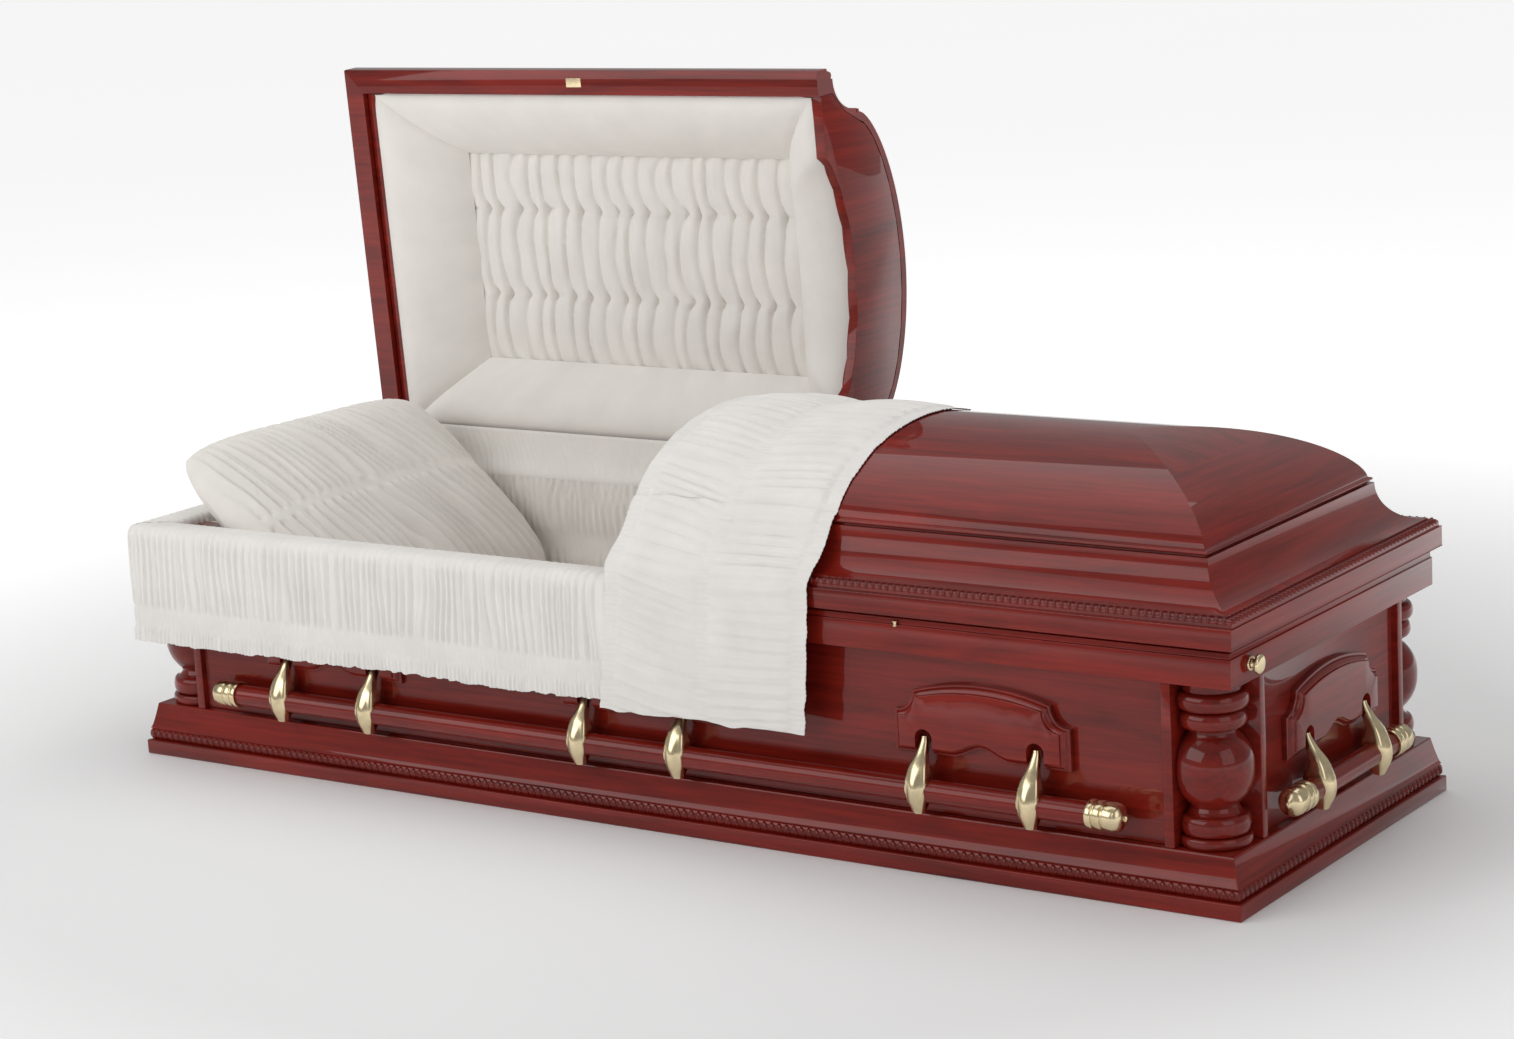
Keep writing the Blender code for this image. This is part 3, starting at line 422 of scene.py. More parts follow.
def ramp(value, low, high):
    """Smooth step from 0 at low to 1 at high."""
    share = np.clip((value - low) / (high - low), 0.0, 1.0)
    return share * share * (3 - 2 * share)


def between(value, rise, fall):
    """1 between two smooth steps, given as (start, end) pairs, and 0 beyond them."""
    return ramp(value, *rise) * (1 - ramp(value, *fall))


def crease(value, at, width, power=2):
    """A narrow hill of height 1 round one value."""
    return np.exp(-((value - at) / width) ** power)


def gathers(s, t, pitch, seed, lean=0.0, wander=0.5):
    """Height from 0 to 1 of cloth drawn up along s: round hills and narrow, uneven creases along t."""
    at = s + lean * t
    phase = (at / pitch + wander * drift(at, 3.1 * pitch, seed)
             + 0.34 * cloud(s, t, 2.2 * pitch, 6 * pitch, seed + 1))
    hill = np.abs(np.sin(np.pi * phase)) ** 0.85
    strength = 0.74 + 0.26 * cloud(s, t, 1.3 * pitch, 5 * pitch, seed + 2)
    second = np.abs(np.sin(np.pi * (1.73 * phase + 0.4 * drift(at, 5 * pitch, seed + 3)))) ** 0.9
    fade = 0.5 + 0.5 * cloud(s, t, 3 * pitch, 3.5 * pitch, seed + 4)
    return (1 - strength * (1 - hill)) * (1 - 0.45 * fade * (1 - second))


def cloth_grid(columns, rows, shape, flat):
    """A grid pulled into shape: shape gives x, y, z for arrays of shares along and across it."""
    clear_selection()
    bpy.ops.mesh.primitive_grid_add(x_subdivisions=columns, y_subdivisions=rows, size=2.0)
    piece = bpy.context.object
    mesh = piece.data
    spots = read_array(mesh.vertices, "co", 3)
    x, y, z = shape((spots[:, 0] + 1) / 2, (spots[:, 1] + 1) / 2)
    mesh.vertices.foreach_set("co", np.stack([x, y, z], axis=1).ravel())
    uv = mesh.uv_layers.active.data
    uv.foreach_set("uv", (read_array(uv, "uv", 2) * np.array(flat)).ravel())
    mesh.update()
    return piece


def along_path(path, distance):
    """Places and unit directions at distances along a run of points."""
    path = np.array(path, float)
    steps = np.linalg.norm(np.diff(path, axis=0), axis=1)
    reach = np.concatenate([[0.0], np.cumsum(steps)])
    distance = np.clip(distance, 0.0, reach[-1])
    place = np.stack([np.interp(distance, reach, path[:, k]) for k in range(path.shape[1])], axis=-1)
    ahead = np.clip(distance + WAY_STEP, 0.0, reach[-1])
    behind = np.clip(distance - WAY_STEP, 0.0, reach[-1])
    way = np.stack([np.interp(ahead, reach, path[:, k]) - np.interp(behind, reach, path[:, k])
                    for k in range(path.shape[1])], axis=-1)
    way /= np.maximum(np.linalg.norm(way, axis=-1, keepdims=True), 1e-9)
    return place, way


def path_length(path):
    return float(np.sum(np.linalg.norm(np.diff(np.array(path, float), axis=0), axis=1)))


def keep_normals(piece):
    """Store the smooth normals, so that cloth split at a joint still shades as one sheet."""
    mesh = piece.data
    normals = read_array(mesh.vertices, "normal", 3, np.float32)
    stored = mesh.attributes.new("whole_normal", "FLOAT_VECTOR", "POINT")
    stored.data.foreach_set("vector", normals.ravel())


def split_off(piece, wanted):
    """Separate the faces whose centres are wanted from a sheet, and return the new piece."""
    pick(piece)
    mesh = piece.data
    chosen = wanted(read_array(mesh.polygons, "center", 3))
    bpy.ops.object.mode_set(mode="EDIT")
    bpy.ops.mesh.select_mode(type="FACE")
    bpy.ops.mesh.select_all(action="DESELECT")
    bpy.ops.object.mode_set(mode="OBJECT")
    mesh.polygons.foreach_set("select", chosen)
    bpy.ops.object.mode_set(mode="EDIT")
    bpy.ops.mesh.separate(type="SELECTED")
    bpy.ops.object.mode_set(mode="OBJECT")
    return next(other for other in bpy.context.selected_objects if other is not piece)


def thicken(piece, thickness):
    """Give split cloth its thickness, with the normals that the whole sheet had on both faces."""
    apply_modifier(piece, "SOLIDIFY", thickness=thickness, offset=-1.0)
    mesh = piece.data
    mesh.shade_smooth()
    stored = read_array(mesh.attributes["whole_normal"].data, "vector", 3, np.float32)
    own = read_array(mesh.vertices, "normal", 3, np.float32)
    stored[np.sum(stored * own, axis=1) < 0] *= -1
    mesh.normals_split_custom_set_from_vertices(stored.tolist())
    mesh.attributes.remove(mesh.attributes["whole_normal"])


# Finishes

def new_group(name, inputs, outputs):
    group = bpy.data.node_groups.new(name, "ShaderNodeTree")
    for label, default in inputs:
        socket = group.interface.new_socket(name=label, in_out="INPUT", socket_type="NodeSocketFloat")
        socket.default_value = default
    for label in outputs:
        group.interface.new_socket(name=label, in_out="OUTPUT", socket_type="NodeSocketFloat")
    return group, group.nodes.new("NodeGroupInput"), group.nodes.new("NodeGroupOutput")


def add_node(tree, kind, links=None, **values):
    """Add a shader node; values set its properties or inputs, and links join other sockets to its inputs."""
    node = tree.nodes.new(kind)
    for name, value in values.items():
        if hasattr(node, name):
            setattr(node, name, value)
        else:
            node.inputs[name.replace("_", " ").title()].default_value = value
    for name, source in (links or {}).items():
        tree.links.new(source, node.inputs[name])
    return node


def maths(tree, operation, first, second=0.0):
    node = tree.nodes.new("ShaderNodeMath")
    node.operation = operation
    for index, value in enumerate((first, second)):
        if hasattr(value, "links"):
            tree.links.new(value, node.inputs[index])
        else:
            node.inputs[index].default_value = value
    return node.outputs[0]


def stretched(tree, vector, scale):
    node = add_node(tree, "ShaderNodeMapping", {"Vector": vector})
    node.inputs["Scale"].default_value = scale
    return node.outputs["Vector"]


def grain_group():
    """Long streaks of cherry wood that follow each board, with fine pores."""
    group, source, result = new_group("cherry_grain", [("Figure", 1.0)], ["Tone", "Pore"])
    place = add_node(group, "ShaderNodeTexCoord").outputs["Object"]
    parts = add_node(group, "ShaderNodeSeparateXYZ", {"Vector": place})
    turned = add_node(group, "ShaderNodeCombineXYZ", {"X": parts.outputs["Y"], "Y": parts.outputs["X"],
                                                      "Z": parts.outputs["Z"]})
    across = add_node(group, "ShaderNodeAttribute", attribute_name="across")
    choose = add_node(group, "ShaderNodeMix", data_type="VECTOR")
    group.links.new(across.outputs["Fac"], choose.inputs[0])
    group.links.new(place, choose.inputs[4])
    group.links.new(turned.outputs["Vector"], choose.inputs[5])
    board = choose.outputs[1]
    broad = add_node(group, "ShaderNodeTexNoise", {"Vector": stretched(group, board, (1.3, 9.0, 9.0))},
                     scale=2.0, detail=4.0, roughness=0.6, distortion=0.8)
    streaks = add_node(group, "ShaderNodeTexNoise", {"Vector": stretched(group, board, (3.0, 95.0, 95.0))},
                       scale=1.5, detail=5.0, roughness=0.65, distortion=0.3)
    pores = add_node(group, "ShaderNodeTexNoise", {"Vector": stretched(group, board, (24.0, 620.0, 620.0))},
                     scale=1.0, detail=2.0, roughness=0.5)
    mixed = maths(group, "ADD", maths(group, "MULTIPLY", broad.outputs[0], 0.55),
                  maths(group, "MULTIPLY", streaks.outputs[0], 0.45))
    centred = maths(group, "SUBTRACT", mixed, 0.5)
    tone = maths(group, "ADD", maths(group, "MULTIPLY", centred, source.outputs["Figure"]), 0.5)
    group.links.new(tone, result.inputs["Tone"])
    group.links.new(pores.outputs[0], result.inputs["Pore"])
    return group


def weave_group():
    """The crossed threads and soft crinkle of crepe, laid along a sheet's own length and width."""
    group, source, result = new_group("crepe_weave", [("Crinkle", 1.0)], ["Thread", "Cloud"])
    place = add_node(group, "ShaderNodeTexCoord").outputs["UV"]
    warp = add_node(group, "ShaderNodeTexWave", {"Vector": place},
                    wave_type="BANDS", bands_direction="X", scale=210.0, distortion=1.5, detail=1.0)
    weft = add_node(group, "ShaderNodeTexWave", {"Vector": place},
                    wave_type="BANDS", bands_direction="Y", scale=210.0, distortion=1.5, detail=1.0)
    crinkle = add_node(group, "ShaderNodeTexNoise", {"Vector": place}, scale=320.0, detail=3.0, roughness=0.6)
    soft = add_node(group, "ShaderNodeTexNoise", {"Vector": place}, scale=11.0, detail=3.0, roughness=0.55)
    threads = maths(group, "ADD", warp.outputs["Fac"], weft.outputs["Fac"])
    rough = maths(group, "MULTIPLY", crinkle.outputs[0], source.outputs["Crinkle"])
    thread = maths(group, "ADD", maths(group, "MULTIPLY", threads, 0.35), rough)
    group.links.new(thread, result.inputs["Thread"])
    group.links.new(soft.outputs[0], result.inputs["Cloud"])
    return group


def tarnish_group():
    """Soft clouding and fine buffing marks in polished brass."""
    group, source, result = new_group("brass_tarnish", [("Age", 1.0)], ["Clouding", "Buffing"])
    place = add_node(group, "ShaderNodeTexCoord").outputs["Object"]
    patches = add_node(group, "ShaderNodeTexNoise", {"Vector": place}, scale=38.0, detail=4.0, roughness=0.6)
    marks = add_node(group, "ShaderNodeTexNoise", {"Vector": stretched(group, place, (90.0, 90.0, 900.0))},
                     scale=1.0, detail=3.0, roughness=0.55)
    clouding = maths(group, "MULTIPLY", patches.outputs[0], source.outputs["Age"])
    group.links.new(clouding, result.inputs["Clouding"])
    group.links.new(marks.outputs[0], result.inputs["Buffing"])
    return group


def start_material(name, roughness, **constants):
    made = bpy.data.materials.new(name)
    made.use_nodes = True
    tree = made.node_tree
    shader = tree.nodes["Principled BSDF"]
    shader.inputs["Roughness"].default_value = roughness
    for label, value in constants.items():
        shader.inputs[label.replace("_", " ")].default_value = value
    return tree, shader


def place_group(tree, group, value):
    node = tree.nodes.new("ShaderNodeGroup")
    node.node_tree = group
    node.inputs[0].default_value = value
    return node


def mixed_colour(tree, share, first, second):
    node = tree.nodes.new("ShaderNodeMix")
    node.data_type = "RGBA"
    tree.links.new(share, node.inputs[0])
    node.inputs[6].default_value = (*first, 1.0)
    node.inputs[7].default_value = (*second, 1.0)
    return node.outputs[2]


def spread(tree, value, low=0.0, high=1.0, to_low=0.0, to_high=1.0):
    """Stretch one run of values to another."""
    return add_node(tree, "ShaderNodeMapRange", {"Value": value}, from_min=low, from_max=high,
                    to_min=to_low, to_max=to_high).outputs["Result"]


def bumped(tree, shader, height, strength, distance):
    bump = add_node(tree, "ShaderNodeBump", {"Height": height}, strength=strength, distance=distance)
    tree.links.new(bump.outputs["Normal"], shader.inputs["Normal"])


def tinted(colour, factor):
    return tuple(min(1.0, part * factor) for part in colour)


def wood_material(name, grain, colour, dark, light, figure):
    """Stained wood under a deep gloss lacquer."""
    tree, shader = start_material(name, 0.35, Coat_Weight=1.0, Coat_Roughness=0.03, Coat_IOR=1.37,
                                  Specular_IOR_Level=0.08)
    node = place_group(tree, grain, figure)
    tone = spread(tree, node.outputs["Tone"], 0.34, 0.66)
    tree.links.new(mixed_colour(tree, tone, tinted(colour, dark), tinted(colour, light)),
                   shader.inputs["Base Color"])
    bumped(tree, shader, node.outputs["Pore"], 0.05, 0.0004)


def cloth_material(name, weave, colour, crinkle, sheen, strength):
    """Crepe or lining cloth with its threads and a soft bloom."""
    tree, shader = start_material(name, 0.86, Sheen_Weight=sheen, Sheen_Roughness=0.5)
    node = place_group(tree, weave, crinkle)
    tone = spread(tree, node.outputs["Cloud"], 0.3, 0.7)
    tree.links.new(mixed_colour(tree, tone, tinted(colour, 0.955), tinted(colour, 1.03)),
                   shader.inputs["Base Color"])
    bumped(tree, shader, node.outputs["Thread"], strength, 0.0006)


class CASKET_OT_finishes(Operator):
    """Mix the wood, brass and cloth finishes"""
    bl_idname = "casket.finishes"
    bl_label = "Mix finishes"

    def execute(self, context):
        settings = context.scene.casket
        grain, weave, tarnish = grain_group(), weave_group(), tarnish_group()
        wood = tuple(settings.wood_colour)
        # The carved wood of the rope beads is mixed darker than the lacquered wood: painted shade that stands
        # in for the shadow in their carved channel.
        for name, dark, light, figure in (
                ("lacquered_cherry", 0.48, 1.40, 1.0), ("shaded_carved_cherry", 0.40, 0.95, 0.7),
                ("turned_cherry", 0.45, 1.25, 0.9)):
            wood_material(name, grain, wood, dark, light, figure)
        crepe, lining = tuple(settings.skirt_colour), tuple(settings.lining_colour)
        for name, colour, crinkle, sheen, strength in (
                ("gathered_crepe", crepe, 1.0, 0.2, 0.35), ("shirred_lining", lining, 0.8, 0.15, 0.3),
                ("smooth_lining", lining, 0.5, 0.3, 0.2)):
            cloth_material(name, weave, colour, crinkle, sheen, strength)
        tree, shader = start_material("polished_brass", 0.2, Metallic=1.0)
        node = place_group(tree, tarnish, 1.0)
        brass = tuple(settings.brass_colour)
        clouding = spread(tree, node.outputs["Clouding"], 0.3, 0.7)
        tree.links.new(mixed_colour(tree, clouding, tinted(brass, 0.8), tinted(brass, 1.12)),
                       shader.inputs["Base Color"])
        rough = spread(tree, node.outputs["Buffing"], to_low=0.14, to_high=0.30)
        tree.links.new(rough, shader.inputs["Roughness"])
        bumped(tree, shader, node.outputs["Clouding"], 0.04, 0.0005)
        return {"FINISHED"}


# Wood

def arc(centre_in, centre_z, radius_in, radius_z, start, stop, steps):
    """(setback, height) points on an oval arc; angles in degrees, 0 inward and 90 up."""
    found = []
    for step in range(steps + 1):
        angle = math.radians(start + (stop - start) * step / steps)
        found.append((centre_in + radius_in * math.cos(angle), centre_z + radius_z * math.sin(angle)))
    return found


def base_profile():
    """Fascia, the core of the rope bead and the cove up to the ledge."""
    profile = [(0.0012, 0.0), (0.0004, 0.0004), (0.0, 0.0012), (0.0, 0.0222), (0.0004, 0.0232),
               (0.0014, 0.0240), (0.0050, 0.0243)]
    profile += [(0.0042 + 0.0060 * (1 - math.cos(angle)), 0.03425 + 0.0098 * math.sin(angle))
                for angle in (math.radians(-75 + 15 * step) for step in range(11))]
    profile += [(0.0056, 0.0442), (0.0056, 0.0450)]
    profile += [(0.0062 + 0.0113 * share ** 0.8, 0.0452 + 0.0410 * share) for share in
                (step / 16 for step in range(17))]
    return profile + [(0.0179, 0.0867), (0.0187, BASE_TOP)]


class CASKET_OT_base(Operator):
    """Run the base moulding round the casket and hollow it"""
    bl_idname = "casket.base"
    bl_label = "Base moulding"

    def execute(self, context):
        base = pulled_up(base_profile(), None, None, CORNER_ROUND)
        above = BASE_TOP + 0.01
        for at_x, at_y in ((WALL_INNER, NICHE_INNER), (NICHE_INNER, WALL_INNER)):
            x, y = HALF_X - at_x, HALF_Y - at_y
            carve(base, block((-x, -y, FLOOR_TOP), (x, y, above)))
        mark_grain(base)
        settle(base, "base_moulding", "lacquered_cherry", "root", ["base"], 32)
        return {"FINISHED"}


class CASKET_OT_case(Operator):
    """Ease the edges of the case, the top rail and the lids' end boards"""
    bl_idname = "casket.case"
    bl_label = "Case and rails"

    def execute(self, context):
        for node, name, body, width in (
                ("case", "case_walls", "root", 0.0009), ("top_rail", "frieze_and_lip", "root", 0.0010),
                ("head_lid_end_board", "head_arched_board", "head_lid", 0.0009),
                ("foot_lid_end_board", "foot_arched_board", "foot_lid", 0.0009)):
            piece = eased_copy(node, width)
            mark_grain(piece)
            settle(piece, name, "lacquered_cherry", body, [node], 32, turned=False)
        return {"FINISHED"}


def ring(middle, half_height, radius, neck, steps):
    """The rounded edge of one turned ring."""
    fullness = 0.7
    found = []
    for step in range(steps + 1):
        angle = math.pi * (step / steps - 0.5)
        found.append((neck + (radius - neck) * max(0.0, math.cos(angle)) ** fullness,
                      middle + half_height * math.sin(angle)))
    return found


def post_points():
    """The turned corner post from its foot ring up."""
    height, neck = POST_HEIGHT, POST_NECK
    points = [(0.0, 0.0), (0.0495, 0.0)]
    points += ring(0.008, 0.0078, 0.0535, 0.0488, 10)
    points += ring(0.031, 0.0148, 0.0512, 0.0420, 14)
    points += [(0.0405, 0.0468), (0.0375, 0.0500), (0.0355, 0.0535), (neck, 0.0560)]
    bottom, top = 0.0575, height - 0.079
    middle = bottom + 0.52 * (top - bottom)
    for step in range(1, 30):
        level = bottom + (top - bottom) * step / 30
        reach = (level - middle) / (top - middle if level > middle else middle - bottom)
        points.append((neck + (POST_BALL - neck) * (1 - abs(reach) ** 2.5), level))
    points += [(neck, top + 0.0005), (neck - 0.0004, top + 0.0030), (neck, height - 0.0735)]
    points += ring(height - 0.058, 0.0138, 0.0490, 0.0370, 12)
    points += [(0.0380, height - 0.0440)]
    points += ring(height - 0.030, 0.0135, 0.0530, 0.0415, 12)
    return points + [(0.0425, height - 0.0155), (0.0425, height - 0.0008), (0.0417, height), (0.0, height)]


class CASKET_OT_posts(Operator):
    """Turn the four corner posts and cut their backs square"""
    bl_idname = "casket.posts"
    bl_label = "Corner posts"

    def execute(self, context):
        post = spun(post_points(), 48)
        flat = NICHE_DEPTH - POST_SETBACK - FIT_GAP
        pick(post)
        bpy.ops.object.mode_set(mode="EDIT")
        for spot, facing in (((-flat, 0.0, 0.0), (-1.0, 0.0, 0.0)), ((0.0, flat, 0.0), (0.0, 1.0, 0.0))):
            bpy.ops.mesh.select_all(action="SELECT")
            bpy.ops.mesh.bisect(plane_co=spot, plane_no=facing, use_fill=True, clear_outer=True)
        close_outward()
        x, y = HALF_X - POST_SETBACK, HALF_Y - POST_SETBACK
        for corner, (along, across, turn) in {"front_foot": (x, -y, 0), "back_foot": (x, y, 90),
                                              "back_head": (-x, y, 180), "front_head": (-x, -y, 270)}.items():
            matrix = (Matrix.Translation((along, across, BASE_TOP + FIT_GAP))
                      @ Matrix.Rotation(math.radians(turn), 4, "Z"))
            settle(copied(post, matrix), "turned_post_" + corner, "turned_cherry", "root",
                   ["post_" + corner], 38)
        discard(post)
        return {"FINISHED"}


def crown(start_in, start_z, top, steps):
    """The arched crown, steeper at its foot than a circle."""
    run = HALF_Y - start_in
    found = []
    for step in range(steps + 1):
        angle = math.pi / 2 * step / steps
        found.append((HALF_Y - run * math.cos(angle), start_z + (top - start_z) * math.sin(angle) ** (4 / 3)))
    return found


def lid_profile(steps):
    """The lid's outer face from the bottom of its rim to the ridge."""
    out, foot, rim = -0.0024, LID_BOTTOM, RIM_TOP
    profile = [(out + 0.0012, foot), (out + 0.0004, foot + 0.0004), (out, foot + 0.0012), (out, rim - 0.0014),
               (out + 0.0004, rim - 0.0004), (out + 0.0014, rim), (0.0042, rim)]
    bead, bead_in, bead_z = 0.0062, 0.0105, 0.4246
    profile += arc(bead_in, bead_z, bead, bead, 185, 45, 7)
    profile += [(0.0165, 0.4300), (0.0168, 0.4336)]
    for step in range(25):
        angle = math.pi / 2 * step / 24
        profile.append((0.019 + 0.057 * math.sin(angle) ** 0.93,
                        0.4336 + 0.0633 * (1 - math.cos(angle)) ** 0.93))
    profile += [(0.0838, 0.4972), (0.0840, 0.4994), (0.0800, 0.4998)]
    profile += arc(0.0815, 0.5025, 0.0040, 0.0028, 250, 90, 8)
    return profile + crown(NOSING_SETBACK + 0.006, CROWN_START, LID_TOP, steps)


def inner_profile(steps):
    return [(RIM_INNER, LID_BOTTOM), (RIM_INNER, 0.4296), (RIM_INNER + 0.0342, 0.4621)] + crown(
        NOSING_SETBACK + 0.021, CROWN_START, LID_TOP - LID_WALL, steps)


def hollow_lid(outer, inner, split):
    """One shell from the lid's outer and inner forms, open below and at the split."""
    for piece in (outer, inner):
        mesh = bmesh.new()
        mesh.from_mesh(piece.data)
        open_faces = [face for face in mesh.faces
                      if all(abs(corner.co.x - split) < TINY for corner in face.verts)
                      or all(abs(corner.co.z - LID_BOTTOM) < TINY for corner in face.verts)]
        bmesh.ops.delete(mesh, geom=open_faces, context="FACES")
        mesh.to_mesh(piece.data)
        mesh.free()
    shell = joined([outer, inner])
    mesh = bmesh.new()
    mesh.from_mesh(shell.data)
    ends = sorted((corner for corner in mesh.verts if corner.is_boundary and abs(corner.co.x - split) < TINY
                   and abs(corner.co.z - LID_BOTTOM) < TINY), key=lambda corner: corner.co.y)
    links = [mesh.edges.new(pair) for pair in (ends[:2], ends[2:])]
    rims = [edge for edge in mesh.edges if edge.is_boundary] + links
    for axis, level in ((0, split), (2, LID_BOTTOM)):
        bmesh.ops.triangle_fill(mesh, use_beauty=True, edges=[
            edge for edge in rims if all(abs(corner.co[axis] - level) < TINY for corner in edge.verts)])
    mesh.to_mesh(shell.data)
    mesh.free()
    face_outward(shell)
    return shell


class CASKET_OT_lids(Operator):
    """Shape the two halves of the lid, hollow them and add the strips inside"""
    bl_idname = "casket.lids"
    bl_label = "Lid shells"

    def execute(self, context):
        steps = context.scene.casket.crown_steps
        for name, body, end in LIDS:
            split = LID_SPLIT + end * SPLIT_GAP
            shell = hollow_lid(pulled_up(lid_profile(steps), split, end * HALF_X, CORNER_ROUND),
                               pulled_up(inner_profile(steps), split, end * HALF_X, 0.001), split)
            mark_grain(shell)
            settle(shell, name + "_lid_crown", "lacquered_cherry", body, [name + "_lid_shell"], 30)
            gap, thickness, low, high = 0.0005, 0.020, LID_BOTTOM + 0.010, LID_BOTTOM + 0.030
            outer = HALF_X - RIM_INNER - gap
            near, far = sorted((end * outer, end * (outer - thickness)))
            reach = HALF_Y - RIM_INNER - gap
            strip = block((near, -reach, low), (far, reach, high))
            apply_modifier(strip, "BEVEL", width=0.003, segments=4, limit_method="ANGLE")
            mark_grain(strip)
            settle(strip, name + "_lid_batten", "lacquered_cherry", body, (), 35)
        return {"FINISHED"}


def rope_side(start, finish, pitch, half_sizes, lean, tip):
    """Slanted strands side by side along a straight run."""
    start, finish = Vector(start), Vector(finish)
    way = (finish - start).normalized()
    outward = way.cross(Vector((0.0, 0.0, 1.0)))
    count = max(2, round((finish - start).length / pitch))
    gap = (finish - start).length / count
    clear_selection()
    bpy.ops.mesh.primitive_uv_sphere_add(segments=8, ring_count=5, radius=1.0)
    strand = bpy.context.object
    strand.data.transform(Matrix.Diagonal((*half_sizes, 1.0)))
    strand.data.transform(Matrix.Rotation(lean, 4, "Y"))
    strand.data.transform(Matrix.Rotation(tip, 4, "X"))
    axes = Matrix((way, -outward, Vector((0.0, 0.0, 1.0)))).transposed().to_4x4()
    strand.data.transform(Matrix.Translation(start + way * gap / 2) @ axes)
    apply_modifier(strand, "ARRAY", count=count, use_relative_offset=False, use_constant_offset=True,
                   constant_offset_displace=way * gap)
    return strand


class CASKET_OT_rope(Operator):
    """Carve the rope bead round the base and both lids"""
    bl_idname = "casket.rope"
    bl_label = "Rope beads"

    def execute(self, context):
        settings = context.scene.casket
        inward, height = 0.0062, 0.0345
        x, y = HALF_X - inward, HALF_Y - inward
        sizes, lean = (0.0088, 0.0050, 0.0052), math.radians(50)
        corners = [(-x, -y, height), (x, -y, height), (x, y, height), (-x, y, height)]
        sides = [rope_side(a, b, settings.base_rope_pitch, sizes, lean, 0.0)
                 for a, b in zip(corners, corners[1:] + corners[:1])]
        settle(joined(sides), "base_rope", "shaded_carved_cherry", "root", (), 60)
        inward, height = 0.0102, 0.4258
        x, y = HALF_X - inward, HALF_Y - inward
        sizes, lean = (0.0078, 0.0082, 0.0041), math.radians(50)
        for name, body, end in LIDS:
            split = LID_SPLIT + end * SPLIT_GAP
            run = [(split, -y, height), (end * x, -y, height), (end * x, y, height), (split, y, height)]
            if end < 0:
                run = run[::-1]
            sides = [rope_side(a, b, settings.lid_rope_pitch, sizes, lean, math.radians(-38))
                     for a, b in zip(run, run[1:])]
            settle(joined(sides), name + "_lid_rope", "shaded_carved_cherry", body, (), 60)
        return {"FINISHED"}


def plate_outline(inset):
    """A handle plate's outline about its arm pivots, moved in by inset at its moulded edge."""
    half, low, shoulder = 0.148 - inset, -0.020 + 0.76 * inset, 0.043 - 0.48 * inset
    notch_x, notch_z, crest = 0.116 - 0.76 * inset, 0.075 - 0.62 * inset, 0.093 - inset
    arm, key, rise = ARM_SPACING / 2, 0.013 + 0.10 * inset, 0.005
    hump_half, hump_rise = 0.051, 0.016
    right = [(hump_half * share, low + hump_rise * (0.5 + 0.5 * math.cos(math.pi * share)))
             for share in (step / 12 for step in range(13))]
    right += [(arm - key, low)]
    right += [(arm - key * math.cos(math.pi * step / 16), rise + key * math.sin(math.pi * step / 16))
              for step in range(17)]
    right += [(arm + key, low), (half, low), (half, shoulder)]
    for step in range(1, 9):
        angle = math.pi / 2 * step / 9
        right.append((notch_x + (half - notch_x) * (1 - math.sin(angle)),
                      notch_z - (notch_z - shoulder) * math.cos(angle)))
    right += [(notch_x, notch_z)]
    right += [(notch_x * share, crest - (crest - notch_z) * share ** 2) for share in
              (1 - step / 12 for step in range(1, 13))]
    left = [(-x, z) for x, z in reversed(right)]
    return right + left[1:-1]


def stepped_plate():
    """One plate facing -Y: the outline drawn once, pulled out and drawn in step by step."""
    levels = [(0.0072, 0.0), (0.0080, 0.0006), (0.0084, 0.0020), (0.0084, 0.0042), (0.0094, 0.0048),
              (0.0112, 0.0058), (0.0130, 0.0078), (0.0142, 0.0108), (0.0146, 0.0124), (0.0162, 0.0128),
              (0.0172, 0.0134), (0.0177, 0.0148)]
    outline = plate_outline(0.0)
    line = drawn_line([(x, 0.0, z) for x, z in outline])
    bpy.ops.object.mode_set(mode="OBJECT")
    apply_place()
    mesh = bmesh.new()
    mesh.from_mesh(line.data)
    mesh.verts.ensure_lookup_table()
    count = len(outline)
    current = [mesh.verts[index] for index in range(count)]
    mesh.edges.new((current[-1], current[0]))
    bmesh.ops.triangle_fill(mesh, use_beauty=True, edges=mesh.edges[:])
    for proud, inset in levels:
        raised = [mesh.verts.new((x, -proud, z)) for x, z in plate_outline(inset)]
        for index in range(count):
            after = (index + 1) % count
            mesh.faces.new((current[index], current[after], raised[after], raised[index]))
        current = raised
    rim = [mesh.edges.get((current[index], current[(index + 1) % count])) for index in range(count)]
    bmesh.ops.triangle_fill(mesh, use_beauty=True, edges=rim)
    bmesh.ops.recalc_face_normals(mesh, faces=mesh.faces[:])
    mesh.to_mesh(line.data)
    mesh.free()
    return line


def handle_places():
    """Each handle's name and the matrix that puts a front-facing pivot line there."""
    x, y = HALF_X - ARM_PIVOT_SETBACK, HALF_Y - ARM_PIVOT_SETBACK
    return [(side, Matrix.Translation((along, across, PIVOT_HEIGHT))
             @ Matrix.Rotation(math.radians(turn), 4, "Z"))
            for side, along, across, turn in (("front", 0.0, -y, 0), ("back", 0.0, y, 180),
                                              ("head_end", -x, 0.0, 270), ("foot_end", x, 0.0, 90))]


